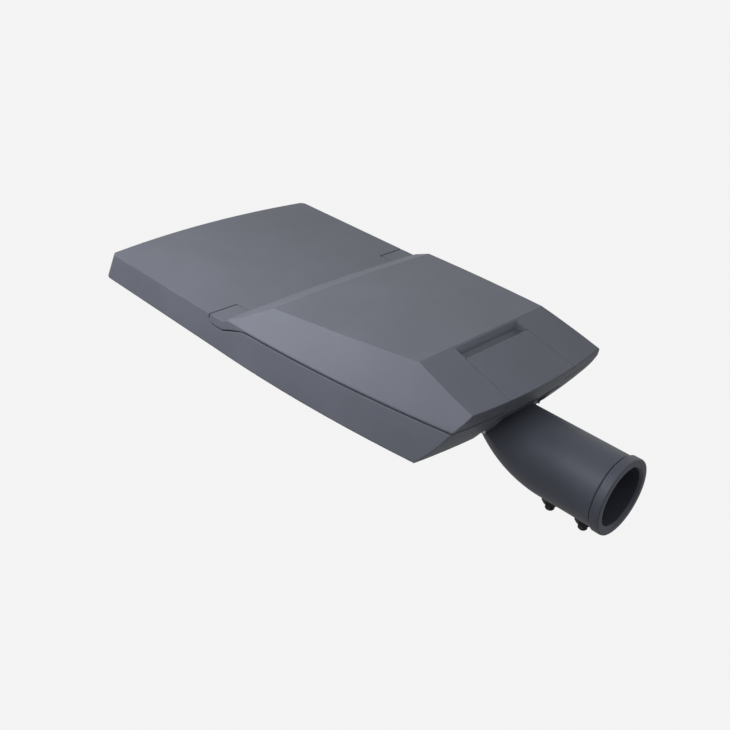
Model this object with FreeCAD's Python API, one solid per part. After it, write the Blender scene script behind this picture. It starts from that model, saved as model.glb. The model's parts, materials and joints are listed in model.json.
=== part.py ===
import FreeCAD, Part
import math
import os

from FreeCAD import Vector

# Road light head for a horizontal mast arm, in millimetres.
# It is drawn with x running back from its front corners, y across from its centre line and z up from its
# flat front top. Each piece is moved when it is saved, so that the origin is the centre of the mouth of the
# mast socket, +X points out of the socket and +Z is up.

# Head outline
HEAD_LENGTH = 511.5
HALF_WIDTH = 151.3
FRONT_BOW_RADIUS = 912.0
CORNER_RADIUS = 8.0
LEAST_CORNER = 1.0
TAPER_START = 190.0
TAPER_RADIUS = 1530.0
FLARE = 0.275
DEPTH_FRONT = 27.5
DEPTH_MIDDLE = 30.0
DEPTH_REAR = 38.5
REAR_UNDERCUT = 30.0
REAR_BULGE = 2.6
REAR_BOW_RADIUS = 900.0
PLATE = 4.0
WALL = 4.0
FLOOR = 3.5

# Gear cover
STEP_FOOT = 199.0
STEP_RUN = 49.0
STEP_RISE = 26.8
STEP_BOW_RADIUS = 2160.0
RIDGE_AHEAD = 79.8
RIDGE_RISE = 13.4
REAR_DROP = 21.6
FACET_RUN_FRONT = 1.24
FACET_RUN_REAR = 0.755
COVER_SKIN = 2.8
COVER_EDGE = 1.8
COVER_FLANGE = 3.0
SEAM_GAP = 1.6
FRONT_SEAM = 0.5

# Seal between the housing and the cover
SEAL_INSET = 5.0
SEAL_WIDTH = 3.6
SEAL_LAND = 0.4
SEAL_AHEAD = 24.5

# Cover hinge
HINGE_AHEAD = 11.8
HINGE_DROP = 2.7
EAR_NOSE = 2.8
EAR_FOOT_RUN = 3.3
EAR_DEPTH = 8.4
EAR_FLAT_RUN = 19.8
EAR_CLIMB_RUN = 34.8
EAR_CLIMB_DEPTH = 3.0
EAR_RUN = 52.8
EAR_INNER = 114.0
EAR_GAP = 1.2
EAR_STRIP = 3.4
EAR_BED = 4.4
HINGE_PIN_RADIUS = 1.5
HINGE_PIN_GRIP = 17.0
HINGE_PIN_REACH = 26.0
RUNNING_GAP = 0.06
SEAT_GAP = 0.02
SWING_GAP = 0.45

# Latch flap
FLAP_LENGTH = 61.5
FLAP_HALF_FRONT = 50.0
FLAP_TAPER = 0.04
FLAP_THICKNESS = 2.8
FLAP_GAP = 0.6
FLAP_LIP = 25.8
BARREL_RADIUS = 3.6
BARREL_SET = 1.0
LATCH_TROUGH_RADIUS = 6.2
LATCH_PIN_RADIUS = 2.0
LATCH_PIN_GRIP = 5.0
FINGER_LENGTH = 15.6
FINGER_DEPTH = 7.6
FINGER_UNDERCUT = 9.0
FINGER_DRAFT = 3.0
SPRING_WIDTH = 22.0
SPRING_LENGTH = 22.0
SPRING_SHEET = 0.8
SPRING_DIP = 2.4
SPRING_ROOM = 3.0
SPRING_SEAT = 13.0
SPRING_RIVET_FLATS = 3.0
SPRING_RIVET_PITCH = 12.0
RIVET_COVER = 1.0

# Optical chamber, open below
WINDOW_AHEAD = 23.0
SEAT_DEPTH = 17.0
RING_INNER = 18.0
RING_WALL = 3.0
GLASS_INSET = 12.6
GLASS_THICKNESS = 4.0
SEAL_THICKNESS = 3.0
FRAME_PLAY = 0.4
FRAME_OVERLAP = 1.0
FRAME_THICKNESS = 2.5
FRAME_SCREW_INSET = 7.6
FRAME_SCREW_FLATS = 4.0
FRAME_SCREW_LENGTH = 10.0
FRAME_POST_FLATS = 6.4
SIDE_SCREWS_X = (25.0, 145.0)
END_SCREWS_Y = 70.0

# Small screws, and the flat sides of small round things that don't turn
HEAD_TO_SHANK = 1.75
ROUND_SIDES = 12

# Light boards
PAD = 3.0
BOARD_FRONT = 20.0
BOARD_CLEAR = 8.0
BOARD_WIDTH = 112.0
BOARD_SPLIT = 14.0
BOARD_THICKNESS = 1.6
CHIP_SIZE = 3.5
CHIP_HEIGHT = 0.8
LENS_ROWS = 3
LENS_COLUMNS = 4
LENS_SIDES = 6
LENS_RADIUS = 9.0
LENS_TOP_RADIUS = 5.5
LENS_RISE = 4.5
LENS_SHEET = 3.0
LENS_ROOM = 1.4
LENS_RIM = 3.0
LENS_MARGIN = 7.0
BOARD_SCREW_INSET = 3.5
BOARD_SCREW_FLATS = 3.0
BOARD_SCREW_LENGTH = 6.0

# Gear compartment
RIM = 9.0
CORE_ROOF = 8.0
CORE_AHEAD = 44.5
TRAY_CLEAR = 6.0
TRAY_BESIDE = 17.0
TRAY_SHEET = 1.5
TRAY_DROP = 23.0
TRAY_LIP = 8.0
TRAY_SCREW_FLATS = 4.0
TRAY_SCREW_LENGTH = 6.0
TRAY_SCREW_INSET = 10.0
TRAY_POST_FLATS = 11.0
FOOT_SHEET = 2.0
FOOT_LENGTH = 9.0
GEAR_SCREW_LENGTH = 5.0
GEAR_SET = 12.0
DRIVER_LENGTH = 135.0
DRIVER_WIDTH = 77.0
DRIVER_HEIGHT = 29.0
DRIVER_SIDE = 14.0
SURGE_LENGTH = 48.0
SURGE_WIDTH = 46.0
SURGE_HEIGHT = 30.0
SURGE_SIDE = 24.0
TERMINAL_PITCH = 14.0
TERMINAL_POLES = 3
TERMINAL_DEPTH = 26.0
TERMINAL_HEIGHT = 20.0
TERMINAL_AHEAD = 78.0
TERMINAL_SIDE = 24.0
TERMINAL_WAY = 5.0
VENT_BEHIND = 31.0
VENT_SIDE = 29.3
VENT_FLATS = 12.0
VENT_HEAD_FLATS = 16.0
VENT_HEAD = 2.0
DUCT_HALF_WIDTH = 7.0
DUCT_HALF_HEIGHT = 3.5
DUCT_DROP = 10.5
GROMMET_WALL = 1.5
GROMMET_FLANGE = 1.5

# Spigot
SOCKET_RADIUS = 31.5
SOCKET_DEPTH = 95.6
SPIGOT_RADIUS = 39.2
SPIGOT_REACH = 107.1
AXIS_DROP = 55.2
COLLAR_RADIUS = 41.0
COLLAR_LENGTH = 10.0
NECK_BEHIND = 33.5
NECK_BEND = 80.0
NECK_CROWN = 2.0
NECK_ANGLE = 60.0
NECK_MITRES = 4
CABLE_WAY_RADIUS = 11.0
CLAMP_PITCH = 40.0
CLAMP_FROM_MOUTH = 32.1
CLAMP_SCREW_RADIUS = 5.0
CLAMP_PAD_HALF = 10.0
CLAMP_PAD_HEIGHT = 2.0
CLAMP_NUT_FLATS = 17.0
CLAMP_NUT_HEIGHT = 8.0
CLAMP_TAIL = 8.0
CLAMP_RETRACT = 1.0
CLAMP_KEY_FLATS = 5.0
CLAMP_KEY_DEPTH = 5.0

# Tilt knuckle
TILT_AHEAD = 37.5
TILT_DROP = 26.0
TILT_TRAVEL = 15.0
POCKET_HALF = 39.8
TILT_PLAY = 0.3
TILT_BOSS_SIZE = 24.0
TILT_BOSS_LENGTH = 22.0
TILT_SCREW_RADIUS = 5.0
TILT_SCREW_GRIP = 14.0
TILT_SCREW_PLAY = 0.08
TILT_HEAD_FLATS = 16.0
TILT_HEAD_HEIGHT = 6.4
TILT_WASHER_SIZE = 20.0
TILT_WASHER_SHEET = 2.0
LOCK_FORWARD = 22.0
LOCK_DROP = 4.0
LOCK_BOSS_SIZE = 18.0
LOCK_SCREW_RADIUS = 4.0
LOCK_SCREW_PLAY = 0.3
LOCK_HEAD_FLATS = 13.0
LOCK_HEAD_HEIGHT = 5.3
LOCK_WASHER_SIZE = 16.0
LOCK_WASHER_SHEET = 1.6
WASHER_PLAY = 0.1
CHEEK = 4.5
BAY = 14.0
BAY_WALL = 3.2
BAY_LENGTH = 50.0
BAY_AHEAD = 23.5
BAY_ROOF = 12.0
POCKET_LENGTH = 77.5
POCKET_ROOF = 9.0
MOUTH_ROOF = 13.2
MOUTH_LENGTH = 31.5
POCKET_WALL = 4.0

# Supply gland over the pocket
GLAND_BEHIND = 12.0
GLAND_THREAD = 16.0
GLAND_BORE = 10.0
GLAND_HEAD_FLATS = 19.0
GLAND_HEAD = 8.0
GLAND_NUT_FLATS = 20.0
GLAND_NUT_HEIGHT = 4.0
GLAND_TAIL = 1.0

# Reach of cutting tools past what they cut
BEYOND = 60.0

UP = Vector(0, 0, 1)
DOWN = Vector(0, 0, -1)
BACK = Vector(1, 0, 0)
ACROSS = Vector(0, 1, 0)
FAR_OUT = 4 * BEYOND

MOUTH_X = HEAD_LENGTH + SPIGOT_REACH
HINGE_X = STEP_FOOT - HINGE_AHEAD
EAR_FRONT = HINGE_X - EAR_NOSE
EAR_REAR = HINGE_X + EAR_RUN
WINDOW_REAR = STEP_FOOT - WINDOW_AHEAD
BOARD_REAR = WINDOW_REAR - RING_INNER - BOARD_CLEAR
SEAL_REAR = HEAD_LENGTH - SEAL_AHEAD
FLAP_FRONT = HEAD_LENGTH - FLAP_LENGTH
POCKET_FRONT = HEAD_LENGTH - POCKET_LENGTH
BAY_REAR = HEAD_LENGTH - BAY_AHEAD
WALL_FRONT = STEP_FOOT + RIM
TRAY_FRONT = WALL_FRONT + TRAY_CLEAR
TRAY_HALF = DRIVER_SIDE + DRIVER_WIDTH + TRAY_BESIDE
TRAY_REAR = POCKET_FRONT - POCKET_WALL - TRAY_CLEAR
GLAND_X = POCKET_FRONT + GLAND_BEHIND
VENT_X = STEP_FOOT + VENT_BEHIND
VENT_Y = HALF_WIDTH - VENT_SIDE
BOW_X = math.sqrt(FRONT_BOW_RADIUS ** 2 - HALF_WIDTH ** 2)
STEP_TOP = STEP_FOOT + STEP_RUN
STEP_AXIS_X = STEP_FOOT + STEP_BOW_RADIUS
RIDGE_X = HEAD_LENGTH - RIDGE_AHEAD
RIDGE_Z = STEP_RISE + RIDGE_RISE
REAR_TOP_Z = RIDGE_Z - REAR_DROP
FACET_FOOT = SEAM_GAP + COVER_EDGE
SEAL_INNER = SEAL_INSET + SEAL_WIDTH
RECESS = FLAP_THICKNESS + FLAP_GAP
GLASS_TOP = -SEAT_DEPTH - SEAL_THICKNESS
GLASS_LOW = GLASS_TOP - GLASS_THICKNESS
FRAME_TOP = GLASS_LOW - SEAT_GAP
FRAME_LOW = FRAME_TOP - FRAME_THICKNESS
BOARD_TOP = -PLATE - PAD
BOARD_LOW = BOARD_TOP - BOARD_THICKNESS
LENS_LOW = BOARD_LOW - LENS_SHEET
TRAY_TOP = -TRAY_DROP + TRAY_SHEET
POCKET_TOP = -POCKET_ROOF + POCKET_WALL
KNUCKLE_HALF = POCKET_HALF - TILT_PLAY
CHEEK_FACE = POCKET_HALF + CHEEK
BLOCK_HALF = CHEEK_FACE + BAY + BAY_WALL
TILT_PIVOT = Vector(HEAD_LENGTH - TILT_AHEAD, 0, -TILT_DROP)
LOCK_POINT = TILT_PIVOT + Vector(-LOCK_FORWARD, 0, -LOCK_DROP)
NECK_START = HEAD_LENGTH + NECK_BEHIND
NECK_CENTRE = Vector(NECK_START, 0, NECK_BEND - AXIS_DROP)
NECK_TOP = SPIGOT_RADIUS + NECK_CROWN - AXIS_DROP
PLACE = Vector(-MOUTH_X, 0, AXIS_DROP)


def box(x0, x1, y0, y1, z0, z1):
    """A block between two corners."""
    return Part.makeBox(x1 - x0, y1 - y0, z1 - z0, Vector(x0, y0, z0))


def rod(base, direction, radius, length):
    """A cylinder from base along direction."""
    return Part.makeCylinder(radius, length, base, direction)


def cross_rod(point, radius, y0, y1):
    """A cylinder across the head at the x and z of a point."""
    return rod(Vector(point.x, y0, point.z), ACROSS, radius, y1 - y0)


def polygon_face(points):
    """A flat face through the points, in order."""
    return Part.Face(Part.makePolygon(points + [points[0]]))


def side_prism(outline, y0, y1):
    """An outline of (x, z) points, drawn out from y0 to y1."""
    face = polygon_face([Vector(x, y0, z) for x, z in outline])
    return face.extrude(Vector(0, y1 - y0, 0))


def plan_prism(outline, z0, z1):
    """An outline of (x, y) points, drawn out from z0 to z1."""
    face = polygon_face([Vector(x, y, z0) for x, y in outline])
    return face.extrude(Vector(0, 0, z1 - z0))


def flat_bar(base, direction, flats, length, sides=6):
    """A bar with flat sides, six unless told otherwise, from base along a direction."""
    corner = flats / 2 / math.cos(math.pi / sides)
    one = BACK if abs(direction.y) > abs(direction.z) else ACROSS
    other = direction.cross(one)
    turns = [2 * math.pi * i / sides for i in range(sides)]
    points = [base + one * (corner * math.cos(a)) + other * (corner * math.sin(a)) for a in turns]
    return polygon_face(points).extrude(direction * length)


def mirrored(shape):
    """The same shape on the other side of the centre line."""
    return shape.mirror(Vector(0, 0, 0), ACROSS)


def both_sides(shape):
    """A shape and its mirror image, as two shapes."""
    return [shape, mirrored(shape)]


def arc_between(start, middle, end):
    """An arc edge through three points."""
    return Part.Arc(start, middle, end).toShape()


def flat_hole(mouth, direction, flats, depth, gap=SEAT_GAP, sides=6):
    """Cutter for a hole that a flat-sided shank fits, opened a little past its mouth."""
    return flat_bar(mouth - direction, direction, flats + 2 * gap, depth + 1, sides)


def spread(count, pitch):
    """Evenly spaced offsets about zero."""
    return [pitch * (i - (count - 1) / 2) for i in range(count)]


# Outline of the head
def taper_draw(x, radius=TAPER_RADIUS):
    """How far the side has drawn in at x, behind the start of the taper."""
    back = max(0.0, x - TAPER_START)
    return radius - math.sqrt(radius * radius - back * back)


def plan_wire(z, inset, rear, height=None):
    """Outline of the side band at z, laid at height. Set in by inset, its corners are cut straight."""
    level = z if height is None else height
    grow = -FLARE * z - inset
    half = HALF_WIDTH + grow
    bow = FRONT_BOW_RADIUS + grow
    corner = max(CORNER_RADIUS + grow, LEAST_CORNER)
    corner_y = half - corner
    corner_x = BOW_X - math.sqrt((bow - corner) ** 2 - corner_y ** 2)
    reach = bow / (bow - corner)
    touch = Vector(BOW_X + (corner_x - BOW_X) * reach, corner_y * reach, level)
    turn = math.atan2(touch.y - corner_y, touch.x - corner_x)
    half_turn = (turn + math.pi / 2) / 2
    middle = Vector(corner_x + corner * math.cos(half_turn), corner_y + corner * math.sin(half_turn), level)
    side_start = Vector(corner_x, half, level)
    side_end = Vector(min(TAPER_START, rear), half, level)
    round_corner = arc_between(touch, middle, side_start)
    corner_edge = Part.makeLine(touch, side_start) if inset > 0 else round_corner
    side = [corner_edge, Part.makeLine(side_start, side_end)]
    last = side_end
    if rear > TAPER_START:
        mid_x = (TAPER_START + rear) / 2
        mid = Vector(mid_x, half - taper_draw(mid_x, TAPER_RADIUS + grow), level)
        last = Vector(rear, half - taper_draw(rear, TAPER_RADIUS + grow), level)
        side.append(arc_between(side_end, mid, last))
    edges = side + [mirrored(edge) for edge in side]
    edges.append(Part.makeLine(Vector(last.x, -last.y, level), last))
    edges.append(arc_between(Vector(touch.x, -touch.y, level), Vector(BOW_X - bow, 0, level), touch))
    return Part.Wire(Part.__sortEdges__(edges))


def band_solid(inset, z0, z1, rear=HEAD_LENGTH + BEYOND / 2):
    """The flared body between two heights, set in all round by inset."""
    return Part.makeLoft([plan_wire(z0, inset, rear), plan_wire(z1, inset, rear)], True, True)


def upright_solid(inset, z0, z1, rear=HEAD_LENGTH + BEYOND / 2, plan_z=0.0):
    """The plan of the head at plan_z, set in by inset and drawn straight up from z0 to z1."""
    flat = Part.Face(plan_wire(plan_z, inset, rear, z0))
    return flat.extrude(Vector(0, 0, z1 - z0))


def front_x(y, z, inset):
    """Where the bowed front is at y and z, set in by inset."""
    bow = FRONT_BOW_RADIUS - FLARE * z - inset
    return BOW_X - math.sqrt(bow * bow - y * y)


def underside_z(x):
    """Height of the lower edge of the side band at x."""
    if x < STEP_FOOT:
        return -DEPTH_FRONT - (DEPTH_MIDDLE - DEPTH_FRONT) * x / STEP_FOOT
    rear_low = HEAD_LENGTH - REAR_UNDERCUT
    return -DEPTH_MIDDLE - (DEPTH_REAR - DEPTH_MIDDLE) * (x - STEP_FOOT) / (rear_low - STEP_FOOT)


def below_floor(lift):
    """Everything under the lower edge of the head, with the edge raised by lift."""
    front = -BEYOND
    back = HEAD_LENGTH + BEYOND
    top = [(x, underside_z(x) + lift) for x in (front, STEP_FOOT, back)]
    return side_prism(top + [(back, -3 * BEYOND), (front, -3 * BEYOND)], -FAR_OUT, FAR_OUT)


def rear_disc(inset):
    """A wide disc whose edge is the undercut, bowed rear face, set in by inset."""
    centre_x = HEAD_LENGTH - REAR_BOW_RADIUS
    top = Vector(HEAD_LENGTH - inset, 0, REAR_TOP_Z)
    low = Vector(HEAD_LENGTH - REAR_UNDERCUT - inset, 0, -DEPTH_REAR)
    chord = low - top
    outward = Vector(-chord.z, 0, chord.x)
    outward.normalize()
    middle = (top + low) * 0.5 + outward * REAR_BULGE
    lowest = low + chord * 0.5
    over = Vector(top.x, 0, REAR_TOP_Z + BEYOND)
    hub_high = Vector(centre_x, 0, over.z)
    hub_low = Vector(centre_x, 0, lowest.z)
    edges = [Part.makeLine(hub_high, over), Part.makeLine(over, top), arc_between(top, middle, low)]
    edges += [Part.makeLine(low, lowest), Part.makeLine(lowest, hub_low), Part.makeLine(hub_low, hub_high)]
    return Part.Face(Part.Wire(edges)).revolve(Vector(centre_x, 0, 0), UP, 360)


def rear_x(z):
    """Where the rear face is on the centre line, between its upper and lower edges."""
    height = REAR_TOP_Z + DEPTH_REAR
    share = (REAR_TOP_Z - z) / height
    bulge = 4 * REAR_BULGE * share * (1 - share) * math.hypot(REAR_UNDERCUT, height) / height
    return HEAD_LENGTH - REAR_UNDERCUT * share + bulge


# Form of the gear cover
def facet_y(x, z, inset):
    """Half width of the cover's sloping side at x and z."""
    span = HEAD_LENGTH - STEP_FOOT
    run = FACET_RUN_FRONT + (FACET_RUN_REAR - FACET_RUN_FRONT) * (x - STEP_FOOT) / span
    foot = HALF_WIDTH - FLARE * FACET_FOOT - taper_draw(x)
    return foot - run * (z - FACET_FOOT) - inset * math.hypot(1, run)


def facet_solid(inset):
    """The ruled sloping sides of the cover, carried past its top and foot."""
    front = TAPER_START
    back = HEAD_LENGTH + BEYOND / 2
    wires = []
    for z in (-BEYOND / 4, RIDGE_Z + BEYOND / 8):
        near = [Vector(x, -facet_y(x, z, inset), z) for x in (front, (front + back) / 2, back)]
        far = [Vector(p.x, -p.y, z) for p in near]
        edges = [arc_between(near[0], near[1], near[2]), Part.makeLine(near[2], far[2])]
        edges += [arc_between(far[2], far[1], far[0]), Part.makeLine(far[0], near[0])]
        wires.append(Part.Wire(edges))
    return Part.makeLoft(wires, True, True)


def top_z(x):
    """Height of the cover's flat top at x, ahead of the ridge."""
    return STEP_RISE + (x - STEP_TOP) * RIDGE_RISE / (RIDGE_X - STEP_TOP)


def rear_z(x):
    """Height of the cover's rear facet at x, behind the ridge."""
    return REAR_TOP_Z + (HEAD_LENGTH - x) * REAR_DROP / (HEAD_LENGTH - RIDGE_X)


def roof_prism(drop):
    """Everything under the cover's top and rear facet, both lowered by drop."""
    front = TAPER_START - BEYOND
    back = HEAD_LENGTH + BEYOND
    outline = [(front, top_z(front) - drop), (RIDGE_X, RIDGE_Z - drop), (back, rear_z(back) - drop)]
    return side_prism(outline + [(back, -BEYOND), (front, -BEYOND)], -FAR_OUT, FAR_OUT)


def step_cone(inset):
    """Everything behind the bowed ramp at the cover's front."""
    slope = STEP_RUN / STEP_RISE
    back_off = inset * math.hypot(STEP_RUN, STEP_RISE) / STEP_RISE
    rims = [(STEP_BOW_RADIUS - back_off - z * slope, z) for z in (-BEYOND, BEYOND)]
    points = [Vector(STEP_AXIS_X - radius, 0, z) for radius, z in rims]
    points += [Vector(STEP_AXIS_X, 0, BEYOND), Vector(STEP_AXIS_X, 0, -BEYOND)]
    return polygon_face(points).revolve(Vector(STEP_AXIS_X, 0, 0), UP, 360)


def faceted_block(inset):
    """The cover's top, slopes and rear face, set in by inset and open to the sides below."""
    block = facet_solid(inset).common(roof_prism(inset))
    block = block.common(step_cone(inset))
    return block.common(rear_disc(inset))


def seal_zone(inset, z0, z1):
    """Upright space inside the line of the seal, set in by inset from the head's plan."""
    bowed = Part.makeCylinder(STEP_BOW_RADIUS - inset, z1 - z0, Vector(STEP_AXIS_X, 0, z0))
    zone = upright_solid(inset, z0, z1).common(bowed)
    return zone.common(box(0, SEAL_REAR - inset, -FAR_OUT, FAR_OUT, z0, z1))


# Form of the latch flap
def flap_half(x):
    """Half width of the latch flap at x."""
    return FLAP_HALF_FRONT + FLAP_TAPER * (x - FLAP_FRONT)


def flap_plan(x0, x1, gap):
    """The flap's tapered plan from x0 to x1, widened by gap, as a tall prism."""
    corners = [(x0, -flap_half(x0) - gap), (x1, -flap_half(x1) - gap)]
    corners += [(x1, flap_half(x1) + gap), (x0, flap_half(x0) + gap)]
    return plan_prism(corners, -BEYOND, 2 * BEYOND)


def under_skin(depth):
    """Everything deeper than depth under the cover's top and rear face."""
    return roof_prism(depth).common(rear_disc(depth))


def flap_shell(gap, depth):
    """The layer that the flap takes out of the cover's rear facet and rear face."""
    return flap_plan(FLAP_FRONT - gap, HEAD_LENGTH + BEYOND / 2, gap).cut(under_skin(depth))


def latch_axis():
    """Centre of the flap's hinge bar, in side view."""
    low = REAR_TOP_Z - FLAP_LIP
    return Vector(rear_x(low) - BARREL_RADIUS - BARREL_SET, 0, low + BARREL_RADIUS / 2)


def finger_void(grow):
    """Finger pocket ahead of the flap, running on under its front edge, grown all round."""
    front = FLAP_FRONT - FINGER_LENGTH - grow
    foot = front + FINGER_DRAFT
    end = FLAP_FRONT + FINGER_UNDERCUT + grow
    depth = FINGER_DEPTH + grow
    outline = [(front, rear_z(front) + BEYOND), (front, rear_z(front)), (foot, rear_z(foot) - depth)]
    outline += [(end, rear_z(end) - depth), (end, rear_z(end) + BEYOND)]
    return side_prism(outline, -BEYOND, BEYOND).common(flap_plan(front, end, grow))


def spring_void(grow):
    """Small well under the flap that its snap spring drops into, grown all round."""
    front = FLAP_FRONT + FINGER_UNDERCUT - FLAP_GAP - grow
    rear = FLAP_FRONT + SPRING_SEAT + SPRING_LENGTH + 2 * FLAP_GAP + grow
    half = SPRING_WIDTH / 2 + 2 * FLAP_GAP + grow
    well = box(front, rear, -half, half, -BEYOND, BEYOND)
    return well.cut(roof_prism(RECESS + SPRING_ROOM + grow))


# Form of the cover's hinge ears
def ear_face(gap):
    """Side view of a hinge ear below the seam, widened by gap and carried up past the seam."""
    foot = -EAR_DEPTH - gap
    top = BEYOND / 4
    nose_low = -HINGE_DROP - 0.5 * gap
    start = Vector(EAR_FRONT, 0, nose_low)
    knee = Vector(HINGE_X + EAR_FOOT_RUN, 0, foot)
    bend = Vector(EAR_FRONT + 0.28 * (knee.x - EAR_FRONT), 0, nose_low + 0.7 * (foot - nose_low))
    flat_end = Vector(HINGE_X + EAR_FLAT_RUN + gap, 0, foot)
    climb = Vector(HINGE_X + EAR_CLIMB_RUN + gap, 0, -EAR_CLIMB_DEPTH - gap)
    last = Vector(EAR_REAR + gap, 0, SEAM_GAP)
    high_back = Vector(last.x, 0, top)
    high_front = Vector(EAR_FRONT, 0, top)
    edges = [arc_between(start, bend, knee), Part.makeLine(knee, flat_end)]
    edges += [arc_between(flat_end, climb, last), Part.makeLine(last, high_back)]
    edges += [Part.makeLine(high_back, high_front), Part.makeLine(high_front, start)]
    return Part.Face(Part.Wire(edges))


def ear_prism(gap):
    """A near side ear as a prism out past the head's side, widened by gap."""
    start = EAR_INNER - gap
    face = ear_face(gap)
    face.translate(Vector(0, -start, 0))
    return face.extrude(Vector(0, start - FAR_OUT, 0))


def hinge_axis():
    """Axis of the cover's hinge, in side view."""
    return Vector(HINGE_X, 0, -HINGE_DROP)


# Housing
def housing_body():
    """The outside of the housing, as a solid block."""
    return band_solid(0, -BEYOND, 0).cut(below_floor(0)).common(rear_disc(0))


def chamber_slab(inset, z0, z1):
    """The optical chamber's plan at the frame, set in by inset all round, drawn up from z0 to z1."""
    return upright_solid(inset, z0, z1, WINDOW_REAR - inset, FRAME_TOP)


def chamber_void():
    """The chamber above the glass and the channel round it, both open below."""
    void = band_solid(WALL, -BEYOND, -PLATE, WINDOW_REAR - WALL)
    ring = chamber_slab(RING_INNER - RING_WALL, -SEAT_DEPTH, 0).cut(chamber_slab(RING_INNER, -SEAT_DEPTH, 0))
    return void.cut(ring)


def frame_screw_points():
    """Centres of the screws round the glass frame."""
    side_y = HALF_WIDTH - FLARE * FRAME_TOP - FRAME_SCREW_INSET
    front = front_x(END_SCREWS_Y, FRAME_TOP, FRAME_SCREW_INSET)
    points = [(x, side * side_y) for x in SIDE_SCREWS_X for side in (-1, 1)]
    ends = (front, WINDOW_REAR - FRAME_SCREW_INSET)
    points += [(x, side * END_SCREWS_Y) for x in ends for side in (-1, 1)]
    return points


def board_span(side):
    """The y range of one light board."""
    inner = BOARD_SPLIT / 2
    outer = inner + BOARD_WIDTH
    return (inner, outer) if side > 0 else (-outer, -inner)


def board_pads():
    """Raised beds for the light boards under the top plate."""
    pads = []
    for side in (-1, 1):
        y0, y1 = board_span(side)
        pads.append(box(BOARD_FRONT, BOARD_REAR, y0, y1, BOARD_TOP, -PLATE / 2))
    return pads


def compartment_void():
    """Room for the gear, open at the top."""
    room = seal_zone(RIM, -BEYOND, 1).cut(below_floor(FLOOR)).common(rear_disc(WALL))
    block = box(POCKET_FRONT - POCKET_WALL, SEAL_REAR, -BLOCK_HALF, BLOCK_HALF, -BEYOND, POCKET_TOP)
    return room.cut(block)


def side_cores():
    """Channels cored from below between the compartment's upright wall and the flared side."""
    ring = band_solid(WALL, -BEYOND, -CORE_ROOF).cut(upright_solid(RIM - WALL, -BEYOND, 0))
    return ring.common(box(WALL_FRONT + WALL, HEAD_LENGTH - CORE_AHEAD, -FAR_OUT, FAR_OUT, -BEYOND, 0))


def ear_notches():
    """Openings in the housing that the cover's ears lie in."""
    pivot = hinge_axis()
    swing = math.hypot(HINGE_X - EAR_FRONT, HINGE_DROP) + SWING_GAP
    inner = EAR_INNER - EAR_GAP
    trough = cross_rod(pivot, swing, -FAR_OUT, -inner)
    front = box(HINGE_X - swing, HINGE_X, -FAR_OUT, -inner, -HINGE_DROP, 1)
    notch = ear_prism(EAR_GAP).fuse([trough, front])
    return both_sides(notch.cut(seal_zone(EAR_BED, -BEYOND, BEYOND)))


def latch_notch():
    """Opening in the housing's rear edge for the flap's lip and hinge bar."""
    axis = latch_axis()
    half = flap_half(axis.x) + FLAP_GAP
    low = REAR_TOP_Z - FLAP_LIP - FLAP_GAP
    lip = flap_shell(FLAP_GAP, RECESS).common(box(RIDGE_X, FAR_OUT + HEAD_LENGTH, -FAR_OUT, FAR_OUT, low, 1))
    trough = cross_rod(axis, LATCH_TROUGH_RADIUS, -half, half)
    slot = box(axis.x - LATCH_TROUGH_RADIUS, HEAD_LENGTH, -half, half, axis.z, 1)
    return lip.fuse([trough, slot])


def lock_slot():
    """Slot that lets the lock screw travel as the head tilts, as a face on y = 0."""
    radius = math.hypot(LOCK_FORWARD, LOCK_DROP)
    width = LOCK_SCREW_RADIUS + LOCK_SCREW_PLAY
    start = math.atan2(-LOCK_DROP, -LOCK_FORWARD)
    turns = [start, start - math.radians(TILT_TRAVEL / 2), start - math.radians(TILT_TRAVEL)]

    def at(reach, turn):
        return TILT_PIVOT + Vector(reach * math.cos(turn), 0, reach * math.sin(turn))

    def past(turn, distance):
        return Vector(-math.sin(turn), 0, math.cos(turn)) * distance

    outer = [at(radius + width, turn) for turn in turns]
    inner = [at(radius - width, turn) for turn in reversed(turns)]
    low_end, high_end = past(turns[0], width), past(turns[2], -width)
    return polygon_face(outer + [outer[2] + high_end, inner[0] + high_end] + inner
                        + [inner[2] + low_end, outer[0] + low_end])


def knuckle_voids():
    """Pocket for the spigot, the spanner bays beside it and the holes in its cheeks."""
    back = HEAD_LENGTH + BEYOND
    pocket = box(POCKET_FRONT, back, -POCKET_HALF, POCKET_HALF, -2 * BEYOND, -MOUTH_ROOF)
    mouth = HEAD_LENGTH - MOUTH_LENGTH
    higher = box(POCKET_FRONT, mouth, -POCKET_HALF, POCKET_HALF, -BEYOND, -POCKET_ROOF)
    bay = box(BAY_REAR - BAY_LENGTH, BAY_REAR, CHEEK_FACE, CHEEK_FACE + BAY, -2 * BEYOND, -BAY_ROOF)
    pivot_hole = cross_rod(TILT_PIVOT, TILT_SCREW_RADIUS + TILT_SCREW_PLAY, POCKET_HALF - 1, CHEEK_FACE + 1)
    slot = lock_slot()
    slot.translate(Vector(0, POCKET_HALF - 1, 0))
    slot = slot.extrude(Vector(0, CHEEK + 2, 0))
    voids = [pocket, higher]
    for piece in (bay, pivot_hole, slot):
        voids += both_sides(piece)
    return voids


def tray_screw_points():
    """Centres of the screws that hold the gear tray."""
    side = TRAY_HALF - TRAY_SCREW_INSET
    ends = (TRAY_FRONT + TRAY_SCREW_INSET, TRAY_REAR - TRAY_SCREW_INSET)
    return [(x, y) for x in ends for y in (-side, side)]


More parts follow.
